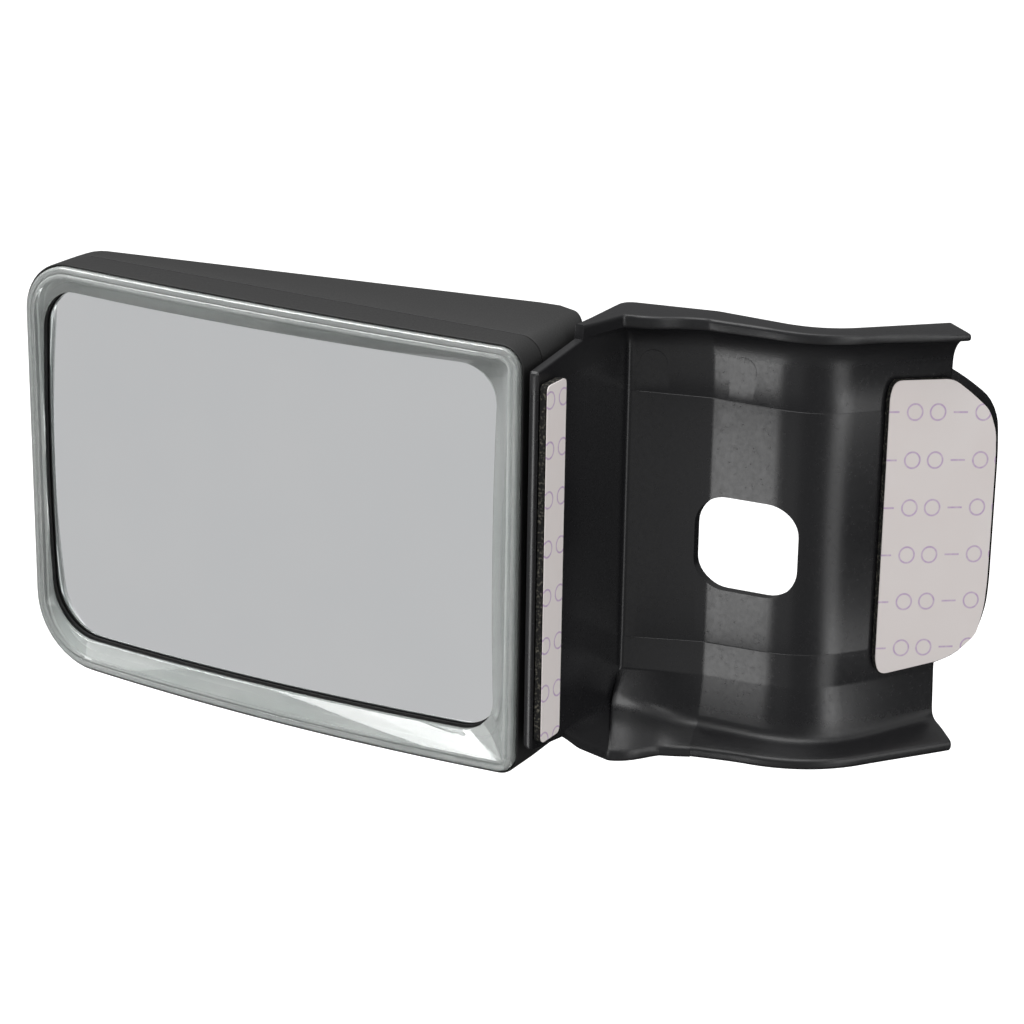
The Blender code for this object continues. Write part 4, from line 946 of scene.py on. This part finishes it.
# screw tubes: the CAD screws give their places and seats
SCREW_HEAD_R = 2.5 * MM
SCREW_HEAD_T = 1.6 * MM
SCREW_R = 1.25 * MM
SEAT_T = 2.0 * MM
BOSS_WALL = 2.2 * MM            # wall of a screw tube outside the screw's head
HEAD_ROOM = 0.6 * MM            # counterbore outside the screw's head
BACK_SKIN = 0.8 * MM            # skin left behind a tube or the pad
for node in SCREWS[2:]:
    x, z, near, far = screw_place(node)
    seat_y = far - SCREW_HEAD_T - GAP
    tube_end = seat_y - SEAT_T
    tube = bar((x, tube_end, z), (x, back_y(x) - BACK_SKIN, z), SCREW_HEAD_R + BOSS_WALL)
    combine(rear_shell, tube, "UNION")
    counterbore = bar((x, seat_y, z), (x, back_y(x) + 3 * MM, z), SCREW_HEAD_R + HEAD_ROOM)
    combine(rear_shell, counterbore, "DIFFERENCE")
    combine(rear_shell, bar((x, tube_end - 2 * MM, z), (x, seat_y + 1 * MM, z), SCREW_R + GAP), "DIFFERENCE")

# the clamp's pad, and the mouth that the neck comes through
jaw_low, jaw_high = [spot - HEAD_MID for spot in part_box("clamp_jaw_back")]
pad = bmesh.new()
bmesh.ops.create_cube(pad, size=1.0)
pad_back = back_y(jaw_low.x) - BACK_SKIN
# the pad ends where the shell's rounded corner would come through its back
round_x = HEAD_W / 2 + FRAME_PROUD - SHELL_EDGE_R
round_depth = pad_back - back_y(round_x) + SHELL_EDGE_R
pad_reach = round_x + math.sqrt((SHELL_EDGE_R - BACK_SKIN) ** 2 - round_depth ** 2)
pad_right = min(jaw_high.x, pad_reach)
pad_low = Vector((jaw_low.x, jaw_high.y + GAP, jaw_low.z))
pad_high = Vector((pad_right, pad_back, jaw_high.z))
bmesh.ops.scale(pad, vec=pad_high - pad_low, verts=pad.verts)
bmesh.ops.translate(pad, vec=(pad_low + pad_high) / 2, verts=pad.verts)
combine(rear_shell, pad, "UNION")
for node in SCREWS[:2]:
    x, z, near, far = screw_place(node)
    pilot = bar((x, jaw_high.y - 1 * MM, z), (x, far + GAP, z), SCREW_R + GAP)
    combine(rear_shell, pilot, "DIFFERENCE")
mouth = bar((jaw_high.x - 1.2 * MM, BALL.y, BALL.z), (HEAD_W / 2 + 5 * MM, BALL.y, BALL.z), MOUTH_R)
combine(rear_shell, mouth, "DIFFERENCE")
rear_shell.data.shade_smooth()
rear_shell.data.set_sharp_from_angle(angle=math.radians(32))
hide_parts("rear_shell")
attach(rear_shell, "head")

# ---- front frame ----
# Matt black ABS tray: a wall round the clear rim, a pocket for glass and seal, a floor behind them,
# posts for the four screws and a locating rim that enters the shell.
MIRROR_R = 600.0 * MM
GLASS_T = 2.0 * MM
GLASS_DEPTH = 0.8 * MM
GLASS_TILT = 0.0296
GLASS_MARGIN = (3.2 * MM, 6.8 * MM, 5.0 * MM, 5.0 * MM)
GLASS_CORNERS = (11.5 * MM, 9.5 * MM, 9.0 * MM, 15.0 * MM)
FRAME_FRONT = 1.1 * MM
FLOOR_T = 2.0 * MM
SPIGOT_H = 1.2 * MM
SPIGOT_T = 1.5 * MM
RIM_SKIRT_D = 5.2 * MM
SEAL_EDGE_T = 0.8 * MM
POST_WALL = 1.0 * MM            # wall of a screw post outside the screw's head
CUSHION_T = 1.0 * MM
FOAM_FRONT = GLASS_T + GLUE
FLOOR_FRONT = FOAM_FRONT + CUSHION_T + GLUE
FLOOR_BACK = FLOOR_FRONT + FLOOR_T


def glass_y(x, z):
    """Front surface of the convex glass."""
    return GLASS_DEPTH + GLASS_TILT * x + (x * x + z * z) / (2 * MIRROR_R)


def at_glass(outline, depth):
    return [Vector((x, glass_y(x, z) + depth, z)) for x, z in outline]


def margin_outline(margins, radii):
    """A rounded outline set in from the head's own by left, right, lower and upper margins."""
    left, right, below, above = margins
    points = rounded_outline(-HEAD_W / 2 + left, HEAD_W / 2 - right, -HEAD_H / 2 + below,
                             HEAD_H / 2 - above, radii)
    return [(point.x, point.y) for point in points]


def glass_outline(outset):
    return margin_outline([margin - outset for margin in GLASS_MARGIN], [r + outset for r in GLASS_CORNERS])


def shrunk(outline, scale):
    return [(x * scale, z * scale) for x, z in outline]


def cross_section(keys):
    """Rings from key loops (loop, rounding, steps), each corner of the section drawn as a short curve."""
    sections = [softened([(loop[i], rounding, steps) for loop, rounding, steps in keys])
                for i in range(len(keys[0][0]))]
    return [list(ring) for ring in zip(*sections)]


frame_out = head_outline(-FRAME_PROUD)
spigot_out = head_outline(SHELL_WALL - FRAME_PROUD + 2 * GAP)
spigot_in = head_outline(SHELL_WALL - FRAME_PROUD + 2 * GAP + SPIGOT_T)
floor_edge = head_outline(SHELL_WALL - FRAME_PROUD + 3 * GAP + SPIGOT_T)
pocket = glass_outline(SEAL_EDGE_T + 2 * GAP)
ledge_y = RIM_SKIRT_D + GAP


def spigot_end(outline):
    loop = []
    for x, z in outline:
        floor_back = glass_y(x, z) + FLOOR_BACK + 0.1 * MM
        loop.append(Vector((x, max(floor_back, PARTING_Y + SPIGOT_H), z)))
    return loop


frame_keys = [(at_glass(shrunk(floor_edge, k), FLOOR_BACK), 0, 0) for k in (0.15, 0.3, 0.65, 1.0)]
frame_keys += [
    (spigot_end(spigot_in), 0, 0),
    (spigot_end(spigot_out), 0.3 * MM, 2),
    (at_plane(spigot_out, PARTING_Y), 0, 0),
    (at_plane(frame_out, PARTING_Y), 0.5 * MM, 3),
    (at_face(frame_out, FRAME_FRONT), 0.55 * MM, 4),
    (at_face(head_outline(-GAP), FRAME_FRONT), 0.2 * MM, 2),
    (at_plane(head_outline(-GAP), ledge_y), 0, 0),
    (at_plane(pocket, ledge_y), 0, 0)]
frame_keys += [(at_glass(shrunk(pocket, k), FLOOR_FRONT), 0, 0) for k in (1.0, 0.65, 0.3, 0.15)]
front_frame = settle("front_bezel", skin_rings(cross_section(frame_keys)), MATT_ABS)
for node in SCREWS[2:]:
    x, z, near, far = screw_place(node)
    tube_end = far - SCREW_HEAD_T - GAP - SEAT_T
    floor_y = glass_y(x, z) + FLOOR_BACK
    post = bar((x, floor_y - 1.0 * MM, z), (x, tube_end - GAP, z), SCREW_HEAD_R + POST_WALL)
    combine(front_frame, post, "UNION")
    pilot = bar((x, near - GAP, z), (x, tube_end + 2 * MM, z), SCREW_R + GAP)
    combine(front_frame, pilot, "DIFFERENCE")
front_frame.data.shade_smooth()
front_frame.data.set_sharp_from_angle(angle=math.radians(32))
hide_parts("front_frame")
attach(front_frame, "head")

# ---- cushion, seal and glass ----
# A thin foam sheet glued to the tray, the convex glass with its silvered back, and a rubber
# channel round the glass that shows as the black line inside the rim.


def curved_sheet(outline, front, back, edge):
    """A sheet that follows the glass, from shrinking rings, with a ground edge."""
    scales = [k / 14 for k in range(1, 14)]
    keys = [at_glass(shrunk(outline, k), front) for k in scales]
    inner = [(x * (1 - edge / (HEAD_W / 2)), z * (1 - edge / (HEAD_H / 2))) for x, z in outline]
    keys += [at_glass(inner, front), at_glass(outline, front + edge), at_glass(outline, back)]
    keys += [at_glass(shrunk(outline, k), back) for k in reversed(scales)]
    return skin_rings(keys)


def silvered_glass():
    """Float glass, bent and silvered: near-perfect reflection with a neutral, very slightly blue tint."""
    material, tree, shader, own = new_material("silvered_glass")
    shader.inputs["Metallic"].default_value = 1.0
    haze = add_node(tree, "ShaderNodeTexNoise", values={"Scale": 35.0, "Detail": 2.0}, links={"Vector": own})
    tint = add_node(tree, "ShaderNodeMix", {"data_type": "RGBA"},
                    {6: linear("eaecee"), 7: linear("eff0f1")}, {0: haze.outputs["Fac"]})
    tree.links.new(tint.outputs[2], shader.inputs["Base Color"])
    gloss = add_node(tree, "ShaderNodeMapRange", values={3: 0.012, 4: 0.03}, links={0: haze.outputs["Fac"]})
    tree.links.new(gloss.outputs[0], shader.inputs["Roughness"])
    return material


def seal_rubber():
    """Moulded rubber channel: black and dull, with a faint bloom of dust."""
    material, tree, shader, own = new_material("seal_rubber")
    shader.inputs["Roughness"].default_value = 0.7
    dust = add_node(tree, "ShaderNodeTexNoise", values={"Scale": 1200.0, "Detail": 3.0},
                    links={"Vector": own})
    tint = add_node(tree, "ShaderNodeMix", {"data_type": "RGBA"},
                    {6: linear("0c0c0c"), 7: linear("1a1a1a")}, {0: dust.outputs["Fac"]})
    tree.links.new(tint.outputs[2], shader.inputs["Base Color"])
    return material


SEAL_T = 0.5 * MM
WINDOW_MARGIN = (3.6 * MM, 9.2 * MM, 6.4 * MM, 7.2 * MM)
WINDOW_R = (11.0 * MM, 10.0 * MM, 9.5 * MM, 14.0 * MM)


def window_outline(inset):
    return margin_outline([margin + inset for margin in WINDOW_MARGIN], [r - inset for r in WINDOW_R])


cushion = settle("glass_cushion", curved_sheet(glass_outline(-2.0 * MM), FOAM_FRONT, FOAM_FRONT + CUSHION_T,
                                               0.15 * MM), CUT_FOAM)
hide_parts("mirror_foam")
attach(cushion, "head")

glass = settle("convex_glass", curved_sheet(glass_outline(0.0), 0.0, GLASS_T, 0.3 * MM), silvered_glass())
glass_only.objects.link(glass)
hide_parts("mirror_glass")
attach(glass, "head")

seal_out = glass_outline(GAP + SEAL_EDGE_T)
seal_in = glass_outline(GAP)
# the lip shows below and at the outer end: past the window's edge at left, right, below, above
SEAL_PAST = (0.5 * MM, -0.2 * MM, 0.7 * MM, -0.2 * MM)
seal_lip = margin_outline([margin + past for margin, past in zip(WINDOW_MARGIN, SEAL_PAST)], WINDOW_R)
seal_keys = [
    (at_glass(seal_out, -GAP - SEAL_T), 0.3 * MM, 3),
    (at_glass(seal_lip, -GAP - SEAL_T), 0.2 * MM, 3),
    (at_glass(seal_lip, -GAP), 0.1 * MM, 2),
    (at_glass(seal_in, -GAP), 0, 0),
    (at_glass(seal_in, GLASS_T), 0.1 * MM, 2),
    (at_glass(seal_out, GLASS_T), 0.3 * MM, 3)]
seal = settle("glass_seal", skin_rings(cross_section(seal_keys), closed=True), seal_rubber())
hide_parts("mirror_seal")
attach(seal, "head")

# ---- clear rim ----
# A moulded frame of clear acrylic over the glass's edge: an outer band, a lip that slopes down towards
# the glass and gets deeper towards the bracket, and a skirt that drops inside the black frame.
RIM_BAND = 2.9 * MM
RIM_SKIRT_T = 1.8 * MM
RIM_LIP_T = 1.0 * MM
REVEAL = 2.1 * MM
GROOVE_IN = 1.8 * MM            # fine groove round the band, in from the outline
GROOVE_HALF_W = 0.25 * MM
GROOVE_D = 0.22 * MM


def clear_acrylic():
    """Moulded clear acrylic, polished: water-clear with a blue-green tint where it is thick."""
    material, tree, shader, own = new_material("clear_acrylic")
    shader.inputs["IOR"].default_value = 1.49
    shader.inputs["Transmission Weight"].default_value = 0.8
    flow = add_node(tree, "ShaderNodeTexNoise", values={"Scale": 60.0, "Detail": 2.0}, links={"Vector": own})
    tint = add_node(tree, "ShaderNodeMix", {"data_type": "RGBA"},
                    {6: linear("e0e8e5"), 7: linear("f3f5f3")}, {0: flow.outputs["Fac"]})
    tree.links.new(tint.outputs[2], shader.inputs["Base Color"])
    gloss = add_node(tree, "ShaderNodeMapRange", values={3: 0.03, 4: 0.08}, links={0: flow.outputs["Fac"]})
    tree.links.new(gloss.outputs[0], shader.inputs["Roughness"])
    return material


band = head_outline(RIM_BAND)
window = window_outline(0.0)
skirt_in = head_outline(RIM_SKIRT_T)
rim_keys = [
    (at_plane(head_outline(0.0), RIM_SKIRT_D), 0.2 * MM, 2),
    (at_face(head_outline(0.0), 0.0), 1.1 * MM, 7),
    (at_face(head_outline(GROOVE_IN - GROOVE_HALF_W), 0.0), 0.05 * MM, 1),
    (at_face(head_outline(GROOVE_IN), GROOVE_D), 0.05 * MM, 1),
    (at_face(head_outline(GROOVE_IN + GROOVE_HALF_W), 0.0), 0.05 * MM, 1),
    (at_face(band, 0.0), 0.3 * MM, 3),
    (at_glass(window, -REVEAL), 0.35 * MM, 5),
    (at_glass(window, -REVEAL + RIM_LIP_T), 0.2 * MM, 2),
    (at_face(band, RIM_SKIRT_T), 0.4 * MM, 3),
    (at_face(skirt_in, RIM_SKIRT_T + 0.1 * MM), 0.3 * MM, 3),
    (at_plane(skirt_in, RIM_SKIRT_D), 0.2 * MM, 2)]
rim = settle("clear_rim_moulding", skin_rings(cross_section(rim_keys), closed=True), clear_acrylic(), 30)
rim_only.objects.link(rim)
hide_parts("clear_rim")
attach(rim, "head")
